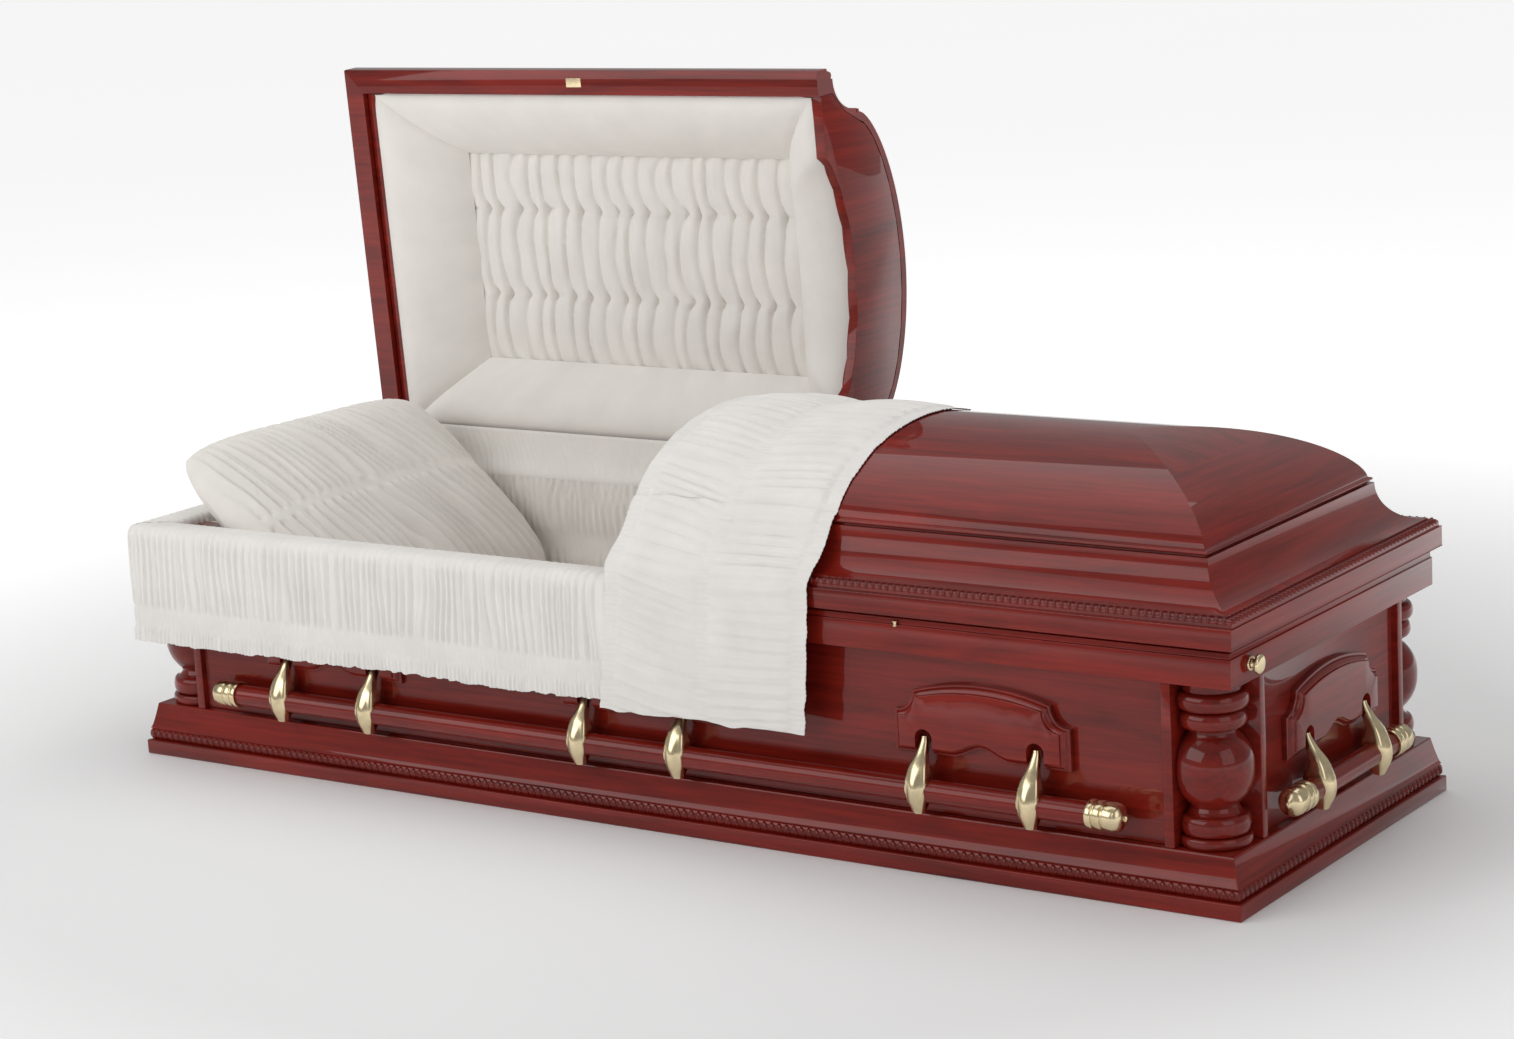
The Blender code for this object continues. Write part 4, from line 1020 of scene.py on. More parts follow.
class CASKET_OT_plates(Operator):
    """Cut the eight moulded handle plates"""
    bl_idname = "casket.plates"
    bl_label = "Handle plates"

    def execute(self, context):
        plate = stepped_plate()
        behind = Matrix.Translation((0.0, PLATE_BACK - ARM_PIVOT_SETBACK, 0.0))
        for side, matrix in handle_places():
            if side in ("front", "back"):
                flip = 1 if side == "front" else -1
                spots = [("head", -PLATE_X * flip), ("middle", 0.0), ("foot", PLATE_X * flip)]
            else:
                spots = [("", 0.0)]
            for spot, x in spots:
                node = "_".join(part for part in ("plate", side, spot) if part)
                piece = copied(plate, matrix @ Matrix.Translation((x, 0.0, 0.0)) @ behind)
                mark_grain(piece)
                settle(piece, "moulded_" + node, "lacquered_cherry", "root", [node], 25)
        discard(plate)
        return {"FINISHED"}


# Brass and handles

def arm_mesh():
    """One cast arm about its pivot: a narrow tab that swells into a ridged leaf and bows outward."""
    stations = [
        (0.0085, 0.0045, 0.0070, 0.0050), (0.0010, 0.0058, 0.0100, 0.0088), (-0.015, 0.0085, 0.0205, -0.001),
        (-0.034, 0.0150, 0.0350, -0.007), (-0.058, 0.0184, 0.0460, 0.0035), (-0.080, 0.0162, 0.0455, 0.0005),
        (-0.102, 0.0080, 0.0350, -0.018),
    ]
    clear_selection()
    bpy.ops.mesh.primitive_circle_add(vertices=24, radius=1.0, fill_type="NGON")
    arm = bpy.context.object
    rows = smooth_curve(stations, 5)
    edit_all()
    for _ in rows[1:]:
        bpy.ops.mesh.extrude_region_move(TRANSFORM_OT_translate={"value": (0.0, 0.0, -1.0)})
    bpy.ops.object.mode_set(mode="OBJECT")
    for corner in arm.data.vertices:
        height, half, out, back = rows[round(-corner.co.z)]
        across, face = corner.co.x, -corner.co.y
        middle = -out + 0.32 * (out + back)
        leaf = math.exp(-((height + 0.062) / 0.030) ** 2)
        if face > 0:
            ridge = face ** 0.75 * (1 - 0.30 * leaf * math.exp(-((abs(across) - 0.62) / 0.13) ** 2))
            deep = middle - (out + middle) * ridge * (1 + 0.05 * leaf * math.exp(-(across / 0.22) ** 2))
        else:
            deep = middle + (back - middle) * abs(face) ** 0.6
        corner.co = (half * across, deep, height)
    bpy.ops.object.mode_set(mode="EDIT")
    close_outward()
    return arm


def tip_points():
    """A turned brass tip: two rings, a domed end and a small button."""
    rings = [(0.0008, 0.0), (0.0, 0.0010), (0.0, 0.0085), (0.0006, 0.0095), (0.0022, 0.0102),
             (0.0022, 0.0122), (0.0006, 0.0130), (0.0, 0.0140), (0.0, 0.0235), (0.0006, 0.0246),
             (0.0022, 0.0252), (0.0024, 0.0268), (0.0010, 0.0276), (0.0004, 0.0290), (0.0004, 0.0425),
             (0.0012, 0.0440)]
    points = [(0.0185, 0.0)] + [(TIP_RADIUS - groove, along) for groove, along in rings]
    points += [(0.0208 * math.cos(angle) + 0.0001, 0.0440 + 0.0125 * math.sin(angle)) for angle in
               (math.pi / 2 * step / 12 for step in range(1, 10))]
    return points + [(0.0052, 0.0566), (0.0056, 0.0580), (0.0046, 0.0598), (0.0024, 0.0608),
                     (0.0, TIP_LENGTH)]


class CASKET_OT_handles(Operator):
    """Hang the four swing handles: bars, brass tips and arms"""
    bl_idname = "casket.handles"
    bl_label = "Swing handles"

    def execute(self, context):
        arm, tip = arm_mesh(), spun(tip_points(), 40)
        tip.data.transform(Matrix.Rotation(math.radians(90), 4, "Y"))
        for side, matrix in handle_places():
            half = HALF_X - LONG_BAR_SETBACK if side in ("front", "back") else END_BAR_HALF
            body, at_bar = "handle_" + side, Matrix.Translation((0.0, -BAR_OUT, -BAR_DROP))
            end_at, narrow = half - BAR_SHORT, BAR_RADIUS - BAR_CHAMFER
            face_at = end_at - BAR_CHAMFER
            bar = spun([(0.0, -end_at), (narrow, -end_at), (BAR_RADIUS, -face_at), (BAR_RADIUS, face_at),
                        (narrow, end_at), (0.0, end_at)], 48)
            bar.data.transform(matrix @ at_bar @ Matrix.Rotation(math.radians(90), 4, "Y"))
            mark_grain(bar)
            settle(bar, "turned_bar_" + side, "lacquered_cherry", body, ["bar_" + side], 40)
            for number, end in ((1, -1), (2, 1)):
                turn = Matrix.Rotation(0.0 if end > 0 else math.pi, 4, "Z")
                spot = Matrix.Translation((end * (half - TIP_LENGTH), 0.0, 0.0))
                settle(copied(tip, matrix @ at_bar @ spot @ turn), "ringed_tip_%s_%d" % (side, number),
                       "polished_brass", body, ["tip_%s_%d" % (side, number)], 40)
            centres = (-PLATE_X, 0.0, PLATE_X) if side in ("front", "back") else (0.0,)
            spots = [centre + offset for centre in centres for offset in (-ARM_SPACING / 2, ARM_SPACING / 2)]
            for number, x in enumerate(spots, 1):
                node = "arm_%s_%d" % (side, number)
                settle(copied(arm, matrix @ Matrix.Translation((x, 0.0, 0.0))), "leaf_" + node,
                       "polished_brass", body, [node], 50)
        discard(arm)
        discard(tip)
        return {"FINISHED"}


KNOB_POINTS = [(0.0, 0.0), (0.0106, 0.0), (0.0110, 0.0006), (0.0110, 0.0032), (0.0104, 0.0040),
               (0.0072, 0.0052), (0.0064, 0.0070), (0.0064, 0.0105), (0.0084, 0.0118), (0.0128, 0.0124),
               (0.0142, 0.0134), (0.0145, 0.0150), (0.0142, 0.0168), (0.0128, 0.0184), (0.0090, 0.0196),
               (0.0, 0.0200)]
PIN_POINTS = [(0.0, 0.0), (0.0032, 0.0), (0.0036, 0.0006), (0.0036, 0.0022), (0.0026, 0.0030),
              (0.0026, 0.0062), (0.0040, 0.0068), (0.0042, 0.0082), (0.0030, 0.0094), (0.0, 0.0097)]
KNOB_SPOT = (HALF_X - 0.0122, -HALF_Y + 0.070, 0.3549)
PIN_SPOT = (0.4945, -HALF_Y + 0.0098, RAIL_TOP - 0.0110)
RIM_PLATE = ((-0.5435, -HALF_Y + 0.0110, LID_BOTTOM - 0.0002),
             (-0.5115, -HALF_Y + 0.0265, LID_BOTTOM + 0.0030))


class CASKET_OT_fittings(Operator):
    """Fit the locking knob, the catch pin and the bare rim plate, and polish the strip hinges"""
    bl_idname = "casket.fittings"
    bl_label = "Small fittings"

    def execute(self, context):
        knob = spun(KNOB_POINTS, 36)
        knob.data.transform(Matrix.Translation(KNOB_SPOT) @ Matrix.Rotation(math.radians(90), 4, "Y"))
        settle(knob, "turned_knob", "polished_brass", "root", ["locking_knob"], 40)
        pin = spun(PIN_POINTS, 24)
        pin.data.transform(Matrix.Translation(PIN_SPOT))
        settle(pin, "catch_pin", "polished_brass", "root", (), 40)
        plate = block(*RIM_PLATE)
        apply_modifier(plate, "BEVEL", width=0.0004, segments=3, limit_method="ANGLE")
        settle(plate, "bare_rim_plate", "polished_brass", "head_lid", (), 35)
        for node in ("head_hinge_body_leaf", "head_hinge_lid_leaf",
                     "foot_hinge_body_leaf", "foot_hinge_lid_leaf"):
            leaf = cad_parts[node]
            leaf.data.materials.clear()
            leaf.data.materials.append(bpy.data.materials["polished_brass"])
        return {"FINISHED"}


# Linings

def arch_height(y):
    share = np.clip(np.abs(y) / 0.2035, 0.0, 1.0)
    return LID_BOTTOM + 0.008 + 0.062 * (1 - share * share) ** 0.75


def lining_frame(end):
    """The padded border's outer and inner rectangles as (low x, high x, half y)."""
    head = end * (HALF_X - RIM_INNER - 0.022)
    split = LID_SPLIT + end * 0.0208
    low, high = min(head, split), max(head, split)
    outer = (low, high, HALF_Y - RIM_INNER - 0.004)
    at_end, at_split, at_sides = 0.142, 0.090, 0.111
    before, after = (at_end, at_split) if end < 0 else (at_split, at_end)
    inner = (low + before, high - after, HALF_Y - RIM_INNER - at_sides)
    return outer, inner


ROLL_DEPTH = 0.079


def roll_piece(end, side):
    """One padded roll of a lid's border, mitred to its neighbours."""
    outer, inner = lining_frame(end)

    def corner(frame_size, share_x, share_y):
        low, high, half = frame_size
        return (low + high) / 2 + share_x * (high - low) / 2, share_y * half

    def shape(u, v):
        run = 2 * u - 1
        share_x, share_y = {"front": (run, -1.0), "back": (-run, 1.0),
                            "low": (-1.0, -run), "high": (1.0, run)}[side]
        outer_x, outer_y = corner(outer, share_x, share_y)
        inner_x, inner_y = corner(inner, share_x, share_y)
        at_split = (side == "low") == (end > 0) and side in ("low", "high")
        outer_z = arch_height(outer_y) + 0.0098 if at_split else LID_BOTTOM + 0.017
        x, y = outer_x + (inner_x - outer_x) * v, outer_y + (inner_y - outer_y) * v
        z = outer_z + (LID_BOTTOM + ROLL_DEPTH - outer_z) * v ** 1.15
        length = 1.0 if side in ("front", "back") else 0.6
        near = np.minimum(u, 1 - u) * length
        seam = 1 - 0.75 * np.exp(-near / 0.010)
        edge = 1 - np.exp(-v * 0.107 / 0.004)
        puff = np.sin(np.pi * v) ** 0.62 * seam * edge
        slack = 0.0012 * cloud(u * length, v * 0.11, 0.09, 0.04, 31 + len(side)) * np.sin(np.pi * v)
        return x, y, np.maximum(z - 0.021 * puff - slack, LID_BOTTOM + 0.011)

    span = (outer[1] - outer[0]) if side in ("front", "back") else 2 * outer[2]
    return cloth_grid(64, 18, shape, (span, 0.13))


def panel_piece(end, pleats):
    """The pleated middle of a lid's lining, caught down in two tucked rows."""
    _, (low, high, half) = lining_frame(end)
    low, high, half = low - 0.006, high + 0.006, half + 0.006
    rows = np.array([-half, 0.26 - HALF_Y, 0.417 - HALF_Y, half])
    pitch = (high - low) / pleats

    def shape(u, v):
        x, y = low + (high - low) * u, -half + 2 * half * v
        section = np.clip(np.searchsorted(rows, y, side="right") - 1, 0, 2)
        share = (y - rows[section]) / (rows[section + 1] - rows[section])
        bow = np.sin(np.pi * np.clip(share, 0, 1)) ** 0.8
        uneven = 0.16 * drift(x, 0.6 * pitch, 51) + 0.10 * cloud(x, y, 0.9 * pitch, 0.05, 52)
        phase = (x - low) / pitch + 0.36 * bow + uneven
        part = phase - np.floor(phase)
        fold = np.abs(np.sin(np.pi * part ** 1.7)) ** 0.62
        to_row = np.min(np.abs(y[:, None] - rows[None, 1:3]), axis=1)
        pinch = crease(to_row, 0.0, 0.010)
        swell = 0.0055 * np.sin(np.pi * np.clip(share, 0, 1)) ** 0.55
        depth = 0.0078 * (1 + 0.45 * pinch) * (0.85 + 0.3 * cloud(x, y, 0.8 * pitch, 0.04, 53))
        hook = 0.0050 * pinch * crease(part, 0.06, 0.10)
        z = LID_BOTTOM + ROLL_DEPTH + 0.006 - swell - depth * fold + hook
        return x, y, z

    fineness = 1 if end > 0 else 2
    return cloth_grid(pleats * 8 * fineness, 60 * fineness, shape, (high - low, 2 * half)), 2 * half


class CASKET_OT_lid_linings(Operator):
    """Pad and pleat the linings of both lids"""
    bl_idname = "casket.lid_linings"
    bl_label = "Lid linings"

    def execute(self, context):
        pleats = context.scene.casket.pleat_count
        for name, body, end in LIDS:
            for side in ("front", "back", "low", "high"):
                roll = roll_piece(end, side)
                apply_modifier(roll, "SOLIDIFY", thickness=0.009, offset=-1.0)
                nodes = ["head_lid_rolls"] if end < 0 else ["foot_lid_lining"]
                settle(roll, "%s_lid_roll_%s" % (name, side), "smooth_lining", body,
                       nodes if side == "front" else (), 50)
            panel, length = panel_piece(end, pleats)
            settle(panel, name + "_lid_pleats", "shirred_lining", body,
                   ["head_lid_panel"] if end < 0 else (), 55)
        return {"FINISHED"}


def wall_path():
    """The inner wall's line round the casket, stepping in round the corner posts."""
    clear = 0.0045
    x, y = HALF_X - WALL_INNER - clear, HALF_Y - WALL_INNER - clear
    near_x, near_y = HALF_X - NICHE_INNER - clear, HALF_Y - NICHE_INNER - clear
    quarter = [(near_x, y), (near_x, near_y), (x, near_y)]
    path = [(0.0, -y)] + [(a, -b) for a, b in quarter] + [(a, b) for a, b in reversed(quarter)]
    path += [(-a, b) for a, b in quarter] + [(-a, -b) for a, b in reversed(quarter)] + [(0.0, -y)]
    rounded = [path[0]]
    for before, here, after in zip(path, path[1:], path[2:]):
        here, before, after = np.array(here), np.array(before), np.array(after)
        one = here + (before - here) / np.linalg.norm(before - here) * 0.010
        two = here + (after - here) / np.linalg.norm(after - here) * 0.010
        rounded += [tuple(0.5 * ((1 - t) ** 2 * one + 2 * t * (1 - t) * here + t * t * two)
                          + 0.5 * ((1 - t) * one + t * two)) for t in (0.0, 0.25, 0.5, 0.75, 1.0)]
    return rounded + [path[-1]]


class CASKET_OT_wall_lining(Operator):
    """Line the inner walls with shirred cloth and make up the bed"""
    bl_idname = "casket.wall_lining"
    bl_label = "Wall lining and bed"

    def execute(self, context):
        path = wall_path()
        total = path_length(path)
        low, high = 0.105, 0.3865
        coarse, close = 0.0150, 0.0085
        seam_low, seam_high, seam_width, seam_depth = 0.252, 0.291, 0.002, 0.0015

        def wall(u, v):
            along, height = u * total, low + (high - low) * v
            place, way = along_path(path, along)
            inward = np.stack([-way[:, 1], way[:, 0]], axis=1)
            band = between(height, (0.250, 0.258), (0.286, 0.294))
            lean = 0.35 * ramp(height, 0.345, 0.385)
            fold = gathers(along, height, coarse, 61, lean=lean)
            fine = gathers(along, height, close, 62)
            amount = (0.0082 * fold) * (1 - band) + (0.0018 + 0.0012 * fine) * band
            amount -= (seam_depth * crease(height, seam_low, seam_width)
                       + seam_depth * crease(height, seam_high, seam_width))
            amount += 0.003 * np.sin(np.pi * np.clip((height - 0.292) / 0.09, 0, 1))
            return place[:, 0] + inward[:, 0] * amount, place[:, 1] + inward[:, 1] * amount, height

        lining = cloth_grid(1700, 28, wall, (total, high - low))
        settle(lining, "shirred_walls", "shirred_lining", "root", ["wall_lining"], 180)
        self.bed()
        self.gusset("front", -1)
        self.gusset("back", 1)
        self.apron()
        return {"FINISHED"}

    def bed(self):
        """The mattress, raised to a wedge under the pillow."""
        half_x, half_y = 0.905, 0.284
        flat_top, wedge, bottom, rounded = 0.180, 0.118, 0.020, 0.030

        def top(u, v):
            x, y = -half_x + 2 * half_x * u, -half_y + 2 * half_y * v
            level = flat_top + wedge * ramp(-x, 0.62, 0.93) ** 1.2
            edge = np.minimum.reduce([half_x - np.abs(x), half_y - np.abs(y)])
            level -= rounded * (1 - np.clip(edge / rounded, 0, 1)) ** 2.4
            fold = gathers(y, x, 0.021, 71)
            return x, y, level + 0.0035 * fold * ramp(edge, 0.0, 0.02) - 0.006

        bed = cloth_grid(160, 100, top, (2 * half_x, 2 * half_y))
        edit_all()
        bpy.ops.mesh.region_to_loop()
        bpy.ops.mesh.extrude_region_move(TRANSFORM_OT_translate={"value": (0.0, 0.0, -0.05)})
        bpy.ops.transform.resize(value=(1.0, 1.0, 0.0), center_override=(0.0, 0.0, bottom))
        bpy.ops.mesh.edge_face_add()
        close_outward()
        settle(bed, "gathered_mattress", "shirred_lining", "root", ["bed"], 60)

    def gusset(self, name, side):
        """The patch of lining over the block behind one head corner post."""
        low, high = WALL_INNER, NICHE_INNER + 0.014
        level, depth, pitch = RAIL_TOP + 0.0012, 0.0030, 0.0150

        def patch(u, v):
            x, y = -HALF_X + low + (high - low) * u, side * (HALF_Y - low - (high - low) * v)
            return x, y, level + depth * gathers(x + y, x - y, pitch, 66)

        gusset = cloth_grid(40, 40, patch, (high - low, high - low))
        if side > 0:
            gusset.data.flip_normals()
        settle(gusset, "corner_gusset_" + name, "shirred_lining", "root", (), 180, turned=False)

    def apron(self):
        """The strip of lining that joins the back wall to the raised lid across its hinge."""
        section = smooth_curve([(0.2940, 0.374), (0.2965, 0.386), (0.303, 0.396), (0.314, 0.410),
                                (0.322, 0.428), (0.3265, 0.446), (0.3285, 0.462)], 6)
        depth = path_length(section)
        start, stop = -HALF_X + RIM_INNER + 0.004, LID_SPLIT - 0.004

        def strip(u, v):
            x = start + (stop - start) * u
            place, way = along_path(section, v * depth)
            fold = gathers(x, v * depth, 0.0125, 81, lean=0.55)
            lift = 0.0040 * fold * np.sin(np.pi * np.clip(v, 0.04, 0.96)) ** 0.5
            return x, place[:, 0] - way[:, 1] * lift, place[:, 1] + way[:, 0] * lift

        apron = cloth_grid(400, 16, strip, (stop - start, depth))
        apply_modifier(apron, "SOLIDIFY", thickness=0.0012, offset=-1.0)
        settle(apron, "hinge_apron", "shirred_lining", None, (), 180)
        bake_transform(apron)


class CASKET_OT_pillow(Operator):
    """Stuff and gather the pillow"""
    bl_idname = "casket.pillow"
    bl_label = "Pillow"

    def execute(self, context):
        slope, turn, pitch, close_pitch = math.radians(42.0), 0.055, 0.0220, 0.0058
        centre = np.array((-HALF_X + 0.250, -0.008, 0.371))
        up_slope = np.array((-math.cos(slope), 0.0, math.sin(slope)))
        normal = np.array((math.sin(slope), 0.0, math.cos(slope)))
        half_long, half_wide, half_thick = 0.229, 0.294, 0.082

        def half(face):
            def shape(u, v):
                across, along = 2 * u - 1, 2 * v - 1
                swell = ((1 - np.abs(across) ** 3.4) * (1 - np.abs(along) ** 3.0)) ** 0.48
                pull_x = 1 - 0.045 * (1 - across ** 2) * np.abs(along) ** 6
                pull_y = 1 - 0.050 * (1 - along ** 2) * np.abs(across) ** 6
                corner = (np.abs(across) * np.abs(along)) ** 4
                width = across * half_wide * pull_y * (1 - 0.085 * corner)
                length = along * half_long * pull_x * (1 - 0.115 * corner)
                fan = width * (1 + 0.14 * along)
                fold = gathers(fan, length, pitch, 91, lean=0.28, wander=0.8)
                fine = gathers(fan, length, close_pitch, 92)
                band = crease(length, 0.012, 0.013, 4)
                room = np.clip(swell * 1.6, 0.0, 1.0)
                depth = 0.0140 * (1 - band) * room
                lift = face * (half_thick * swell - depth * (1 - fold) - 0.0014 * band * (1 - fine) * room
                               - 0.0035 * band * room)
                points = (centre[None, :] + up_slope[None, :] * length[:, None]
                          + normal[None, :] * lift[:, None])
                return points[:, 0] + turn * width, centre[1] + width, points[:, 2]
            return shape

        sides = [cloth_grid(210, 120, half(face), (0.55, 0.42)) for face in (1, -1)]
        pillow = joined(sides)
        edit_all()
        bpy.ops.mesh.remove_doubles(threshold=0.0004)
        close_outward()
        settle(pillow, "gathered_pillow", "shirred_lining", "root", ["pillow"], 180)
        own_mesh(pillow)
        return {"FINISHED"}


# Skirt and throw

SKIRT_CORNER = 0.016
SKIRT_SPLIT = 0.3805


def skirt_place(along, inward):
    """The skirt's line from the split edge along the front and round the head corner, at a setback."""
    start = LID_SPLIT - 0.0014
    out = -0.0048
    corner_x, corner_y = -HALF_X + out + SKIRT_CORNER, -HALF_Y + out + SKIRT_CORNER
    front = start - corner_x
    bend = SKIRT_CORNER * math.pi / 2
    angle = np.clip((along - front) / bend, 0.0, 1.0) * math.pi / 2
    straight = np.clip(along, 0.0, front)
    beyond = np.clip(along - front - bend, 0.0, None)
    radius = np.maximum(SKIRT_CORNER + out - inward, 0.0)
    x = start - straight - radius * np.sin(angle)
    y = corner_y - radius * np.cos(angle) + beyond
    tight = inward - out - SKIRT_CORNER
    x = np.where(tight > 0, np.maximum(x, -HALF_X + inward), x)
    y = np.where(tight > 0, np.maximum(y, -HALF_Y + inward), y)
    return x, y


class CASKET_OT_skirt(Operator):
    """Hang the gathered skirt over the head half of the rim"""
    bl_idname = "casket.skirt"
    bl_label = "Skirt"

    def execute(self, context):
        settings = context.scene.casket
        section = smooth_curve([(0.0620, 0.3865), (0.0605, 0.3950), (0.0540, 0.3995), (0.0400, 0.4020),
                                (0.0240, 0.4030), (0.0100, 0.4022), (0.0020, 0.3985), (-0.0025, 0.3920),
                                (-0.0040, 0.3840),
                                (-0.0044, 0.3700), (-0.0044, 0.3400), (-0.0040, 0.3000), (-0.0034, 0.2600),
                                (-0.0034, 0.2300), (-0.0042, 0.2055)], 8)
        depth = path_length(section)
        front_run, end_run = 1.0335, 0.6635
        total = front_run + end_run
        pitch, deep = settings.gather_pitch, settings.gather_depth
        band_pitch, hem_pitch, rolled, hung, thickness = 0.0068, 0.0085, 0.105, 0.176, 0.0012

        def shape(u, v):
            along, down = total * u, depth * v
            place, way = along_path(section, down)
            inward, height = place[:, 0], place[:, 1]
            fold = gathers(along, height, pitch, 11, lean=0.04, wander=0.65)
            fine = gathers(along, height, band_pitch, 12)
            hem = gathers(along, height, hem_pitch, 13)
            band = between(height, (0.231, 0.236), (0.256, 0.266))
            ruffle = 1 - ramp(height, 0.226, 0.232)
            body = between(height, (0.262, 0.272), (0.380, 0.394))
            roll = ramp(height, 0.380, 0.394)
            lift = deep * (fold - 0.35) * body + 0.0022 * fold * roll + (0.0008 + 0.0018 * fine) * band
            lift += 0.0050 * hem * ruffle + 0.0012 * crease(height, 0.2335, 0.0018)
            lift += 0.0008 * crease(height, 0.2490, 0.0016) + 0.0007 * crease(height, 0.2590, 0.0016)
            billow = 0.0022 * cloud(along, height, 0.16, 0.09, 14) * (1 - roll)
            inward = inward - lift * np.abs(way[:, 1]) + billow
            height = height + lift * np.abs(way[:, 0])
            height = height - 0.0022 * ruffle * drift(along, 0.012, 15)
            height = height - 0.0030 * (1 - roll) * drift(along, 0.21, 16)
            return (*skirt_place(along, inward), height)

        skirt = cloth_grid(1130, 50, shape, (total, depth))
        skirt.data.shade_smooth()
        keep_normals(skirt)
        drop = split_off(skirt, lambda centre: centre[:, 2] < SKIRT_SPLIT)
        end_drop = split_off(drop, lambda centre: (centre[:, 1] + HALF_Y) > (centre[:, 0] + HALF_X))
        for piece, name, joint, keep, width, replaced in (
                (skirt, "rim_roll", "head_lid_hinge", 0.14, rolled, ["skirt"]),
                (drop, "front_skirt", "front_handle_swing", 0.75, hung, ()),
                (end_drop, "head_end_skirt", "head_end_handle_swing", 0.75, hung, ())):
            settle(piece, name, "gathered_crepe", "root", replaced)
            thicken(piece, thickness)
            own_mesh(piece)
        return {"FINISHED"}


def throw_section():
    """The throw's inner line as (y, z) from its front hem over the foot lid's crown to its back edge."""
    out = -0.0110
    front = [(out, 0.1925), (out, 0.25), (out, 0.32), (out, 0.388), (out, 0.4120), (out + 0.0008, 0.4215),
             (-0.0034, 0.4305), (0.0085, 0.4395), (0.0250, 0.4530), (0.0500, 0.4785), (0.0740, 0.5070)]
    over = [(inward, height + 0.0016) for inward, height in crown(0.0835, CROWN_START, LID_TOP, 16)[1:]]
    line = [(inward - HALF_Y, height) for inward, height in front + over]
    line += [(-y, z) for y, z in reversed(line[:-1]) if -y < 0.132]
    return smooth_curve(line, 8)


class CASKET_OT_throw(Operator):
    """Lay the gathered throw over the foot lid"""
    bl_idname = "casket.throw"
    bl_label = "Throw"

    def execute(self, context):
        section = throw_section()
        depth = path_length(section)
        width, hung, thickness = 0.375, 0.191, 0.0014
        left_pitch, right_pitch, band_pitch, edge_pitch = 0.0210, 0.0225, 0.0080, 0.0085

        def shape(u, v):
            along = depth * v
            place, way = along_path(section, along)
            y, z = place[:, 0], place[:, 1]
            low = np.clip((LID_BOTTOM - z) / hung, 0.0, 1.0)
            start, stop = LID_SPLIT + 0.0012 - 0.025 * low, LID_SPLIT + width - 0.016 * low
            x = start + (stop - start) * u
            off = (u - 0.5) * width
            middle = crease(off, 0.0, 0.014, 4)
            edge = 1 - ramp(np.minimum(u, 1 - u) * width, 0.022, 0.034)
            left = gathers(along + 0.22 * off, off, left_pitch, 21, wander=0.9)
            right = gathers(along - 0.05 * off + 0.31, off, right_pitch, 24, wander=0.9)
            fold = np.where(off < 0, left, right)
            fine = gathers(along, off, band_pitch, 27)
            fine_edge = gathers(along, off, edge_pitch, 28)
            span = np.clip(1 - middle - edge, 0.0, 1.0)
            bulge = np.sin(np.pi * np.clip(np.abs(off) / (width / 2), 0, 1)) ** 0.5
            lift = 0.0080 * fold * span * bulge + 0.0030 * fine * middle + 0.0022 * fine_edge * edge
            lift += 0.0010 * bulge * span + 0.0016 * cloud(off, along, 0.08, 0.10, 29) * span
            nx, nz = way[:, 1], -way[:, 0]
            y2, z2 = y - nx * lift, z - nz * lift
            hem = np.exp(-along / 0.010)
            z2 = z2 + 0.0030 * drift(off, 0.030, 30) * hem
            x2 = x + 0.0016 * drift(along, 0.020, 32) * np.clip(2 * np.abs(u - 0.5), 0, 1) ** 4
            return x2, y2, z2

        throw = cloth_grid(116, 380, shape, (width, depth))
        throw.data.shade_smooth()
        keep_normals(throw)
        drop = split_off(throw, lambda centre: (centre[:, 2] < LID_BOTTOM) & (centre[:, 1] < 0.0))
        for piece, name, replaced in ((throw, "throw_over_lid", ["throw"]), (drop, "throw_hanging", ())):
            settle(piece, name, "gathered_crepe", "foot_lid", replaced)
            thicken(piece, thickness)
        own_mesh(drop)
        return {"FINISHED"}


# Stage

SOFT_BOXES = (
    ("soft_box_front", (-2.4, -4.8, 3.2), (0.0, 0.0, 0.4), (6.0, 3.4), 128.0),
    ("soft_box_top", (-0.4, 0.6, 4.2), (0.0, 0.0, 0.4), (6.0, 4.4), 78.0),
    ("soft_box_right", (4.4, -1.4, 2.0), (0.6, 0.0, 0.4), (2.6, 3.0), 24.0))
FLOOR_NEAR, FLOOR_FAR = 1.25, 3.2
FLOOR_GLOW = 0.62
WORLD_LIGHT, WORLD_SEEN = 0.32, 1.0
CAMERA_AZIMUTH, CAMERA_ELEVATION, CAMERA_ROLL = math.radians(35.37), math.radians(12.16), math.radians(-3.29)
CAMERA_TARGET = Vector((0.0194, 0.0, 0.4222))
CAMERA_DISTANCE = 5.624
CAMERA_LENS = 83.10


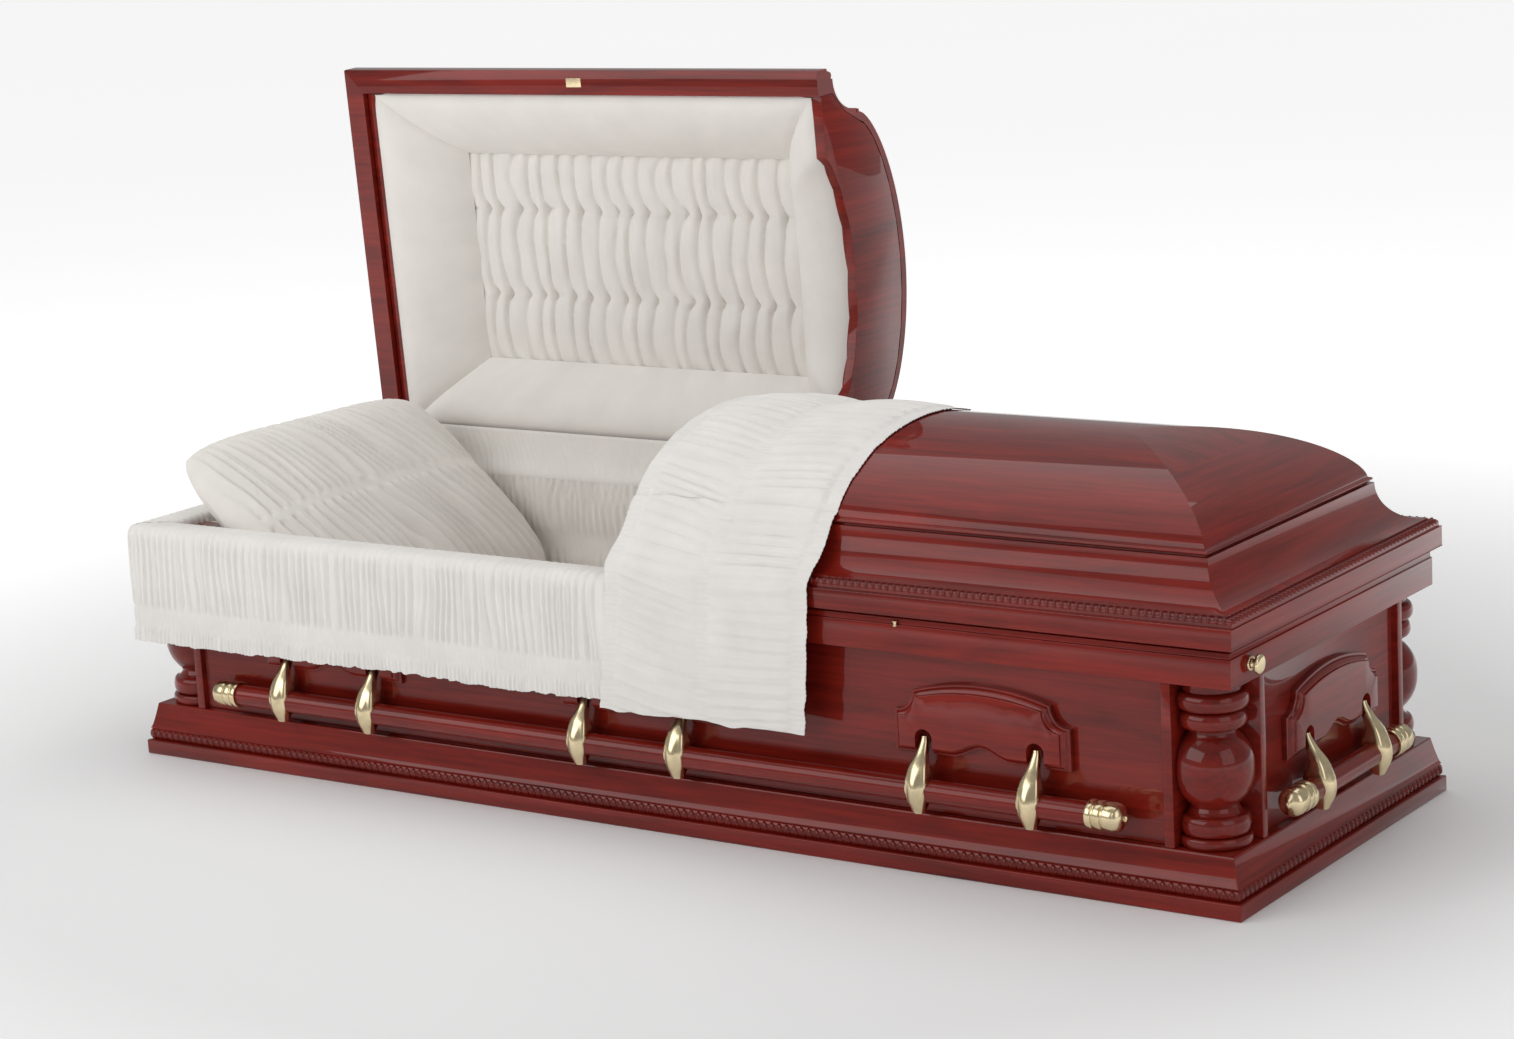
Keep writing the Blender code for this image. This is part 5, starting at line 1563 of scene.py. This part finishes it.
class CASKET_OT_stage(Operator):
    """Set the pale floor, the soft studio light and the camera"""
    bl_idname = "casket.stage"
    bl_label = "Stage"

    def execute(self, context):
        self.floor()
        context.scene.view_settings.view_transform = "Standard"
        world = bpy.data.worlds.new("studio_air")
        context.scene.world = world
        world.use_nodes = True
        air = world.node_tree
        seen = air.nodes.new("ShaderNodeLightPath").outputs["Is Camera Ray"]
        background = air.nodes["Background"]
        background.inputs["Color"].default_value = (1.0, 1.0, 1.0, 1.0)
        strength = spread(air, seen, to_low=WORLD_LIGHT, to_high=WORLD_SEEN)
        air.links.new(strength, background.inputs["Strength"])
        for name, spot, aim, size, power in SOFT_BOXES:
            lamp = bpy.data.lights.new(name, "AREA")
            lamp.shape = "RECTANGLE"
            lamp.size, lamp.size_y = size
            lamp.energy = power
            holder = bpy.data.objects.new(name, lamp)
            context.scene.collection.objects.link(holder)
            holder.location = spot
            holder.rotation_euler = (Vector(aim) - Vector(spot)).to_track_quat("-Z", "Y").to_euler()
        self.camera(context)
        return {"FINISHED"}

    def floor(self):
        """A pale floor that glows more the further it is from the casket."""
        clear_selection()
        bpy.ops.mesh.primitive_plane_add(size=60.0, location=(0.0, 0.0, -0.0005))
        floor = bpy.context.object
        floor.name = "studio_floor"
        tree, shader = start_material("pale_floor", 0.6)
        place = add_node(tree, "ShaderNodeTexCoord").outputs["Object"]
        noise = add_node(tree, "ShaderNodeTexNoise", {"Vector": place}, scale=0.8, detail=2.0)
        tree.links.new(mixed_colour(tree, noise.outputs[0], (0.90, 0.90, 0.90), (0.94, 0.94, 0.94)),
                       shader.inputs["Base Color"])
        away = add_node(tree, "ShaderNodeVectorMath", {0: place}, operation="LENGTH").outputs["Value"]
        far = spread(tree, away, FLOOR_NEAR, FLOOR_FAR)
        tree.links.new(mixed_colour(tree, far, (0.05, 0.05, 0.05), (1.0, 1.0, 1.0)),
                       shader.inputs["Emission Color"])
        shader.inputs["Emission Strength"].default_value = FLOOR_GLOW
        floor.data.materials.append(bpy.data.materials["pale_floor"])

    def camera(self, context):
        """The photograph's viewpoint."""
        azimuth, elevation, roll = CAMERA_AZIMUTH, CAMERA_ELEVATION, CAMERA_ROLL
        away = Vector((math.sin(azimuth) * math.cos(elevation), -math.cos(azimuth) * math.cos(elevation),
                       math.sin(elevation)))
        right = Vector((math.cos(azimuth), math.sin(azimuth), 0.0))
        up = right.cross(-away)
        turned_right = math.cos(roll) * right + math.sin(roll) * up
        turned_up = math.cos(roll) * up - math.sin(roll) * right
        lens = bpy.data.cameras.new("viewpoint")
        lens.lens = CAMERA_LENS
        lens.sensor_width = 36.0
        lens.sensor_fit = "HORIZONTAL"
        holder = bpy.data.objects.new("viewpoint", lens)
        context.scene.collection.objects.link(holder)
        basis = Matrix((turned_right, turned_up, away)).transposed().to_4x4()
        holder.matrix_world = Matrix.Translation(CAMERA_TARGET + away * CAMERA_DISTANCE) @ basis
        context.scene.camera = holder


STEPS = [CASKET_OT_finishes, CASKET_OT_base, CASKET_OT_case, CASKET_OT_posts, CASKET_OT_lids,
         CASKET_OT_rope, CASKET_OT_plates, CASKET_OT_handles, CASKET_OT_fittings, CASKET_OT_lid_linings,
         CASKET_OT_wall_lining, CASKET_OT_pillow, CASKET_OT_skirt, CASKET_OT_throw, CASKET_OT_stage]


class CASKET_PT_dresser(Panel):
    """Lists the casket's settings and steps"""
    bl_idname = "CASKET_PT_dresser"
    bl_label = "Casket dresser"
    bl_space_type = "VIEW_3D"
    bl_region_type = "UI"
    bl_category = "Casket"

    def draw(self, context):
        settings = context.scene.casket
        for name in settings.bl_rna.properties.keys():
            if name not in ("rna_type", "name"):
                self.layout.prop(settings, name)
        for step in STEPS:
            self.layout.operator(step.bl_idname)


CLASSES = [CasketSettings] + STEPS + [CASKET_PT_dresser]


def register():
    for kind in CLASSES:
        bpy.utils.register_class(kind)
    bpy.types.Scene.casket = PointerProperty(type=CasketSettings)


def unregister():
    del bpy.types.Scene.casket
    for kind in reversed(CLASSES):
        bpy.utils.unregister_class(kind)


def main():
    register()
    for step in STEPS:
        group, name = step.bl_idname.split(".")
        getattr(getattr(bpy.ops, group), name)()
    clear_selection()


if __name__ == "__main__":
    main()
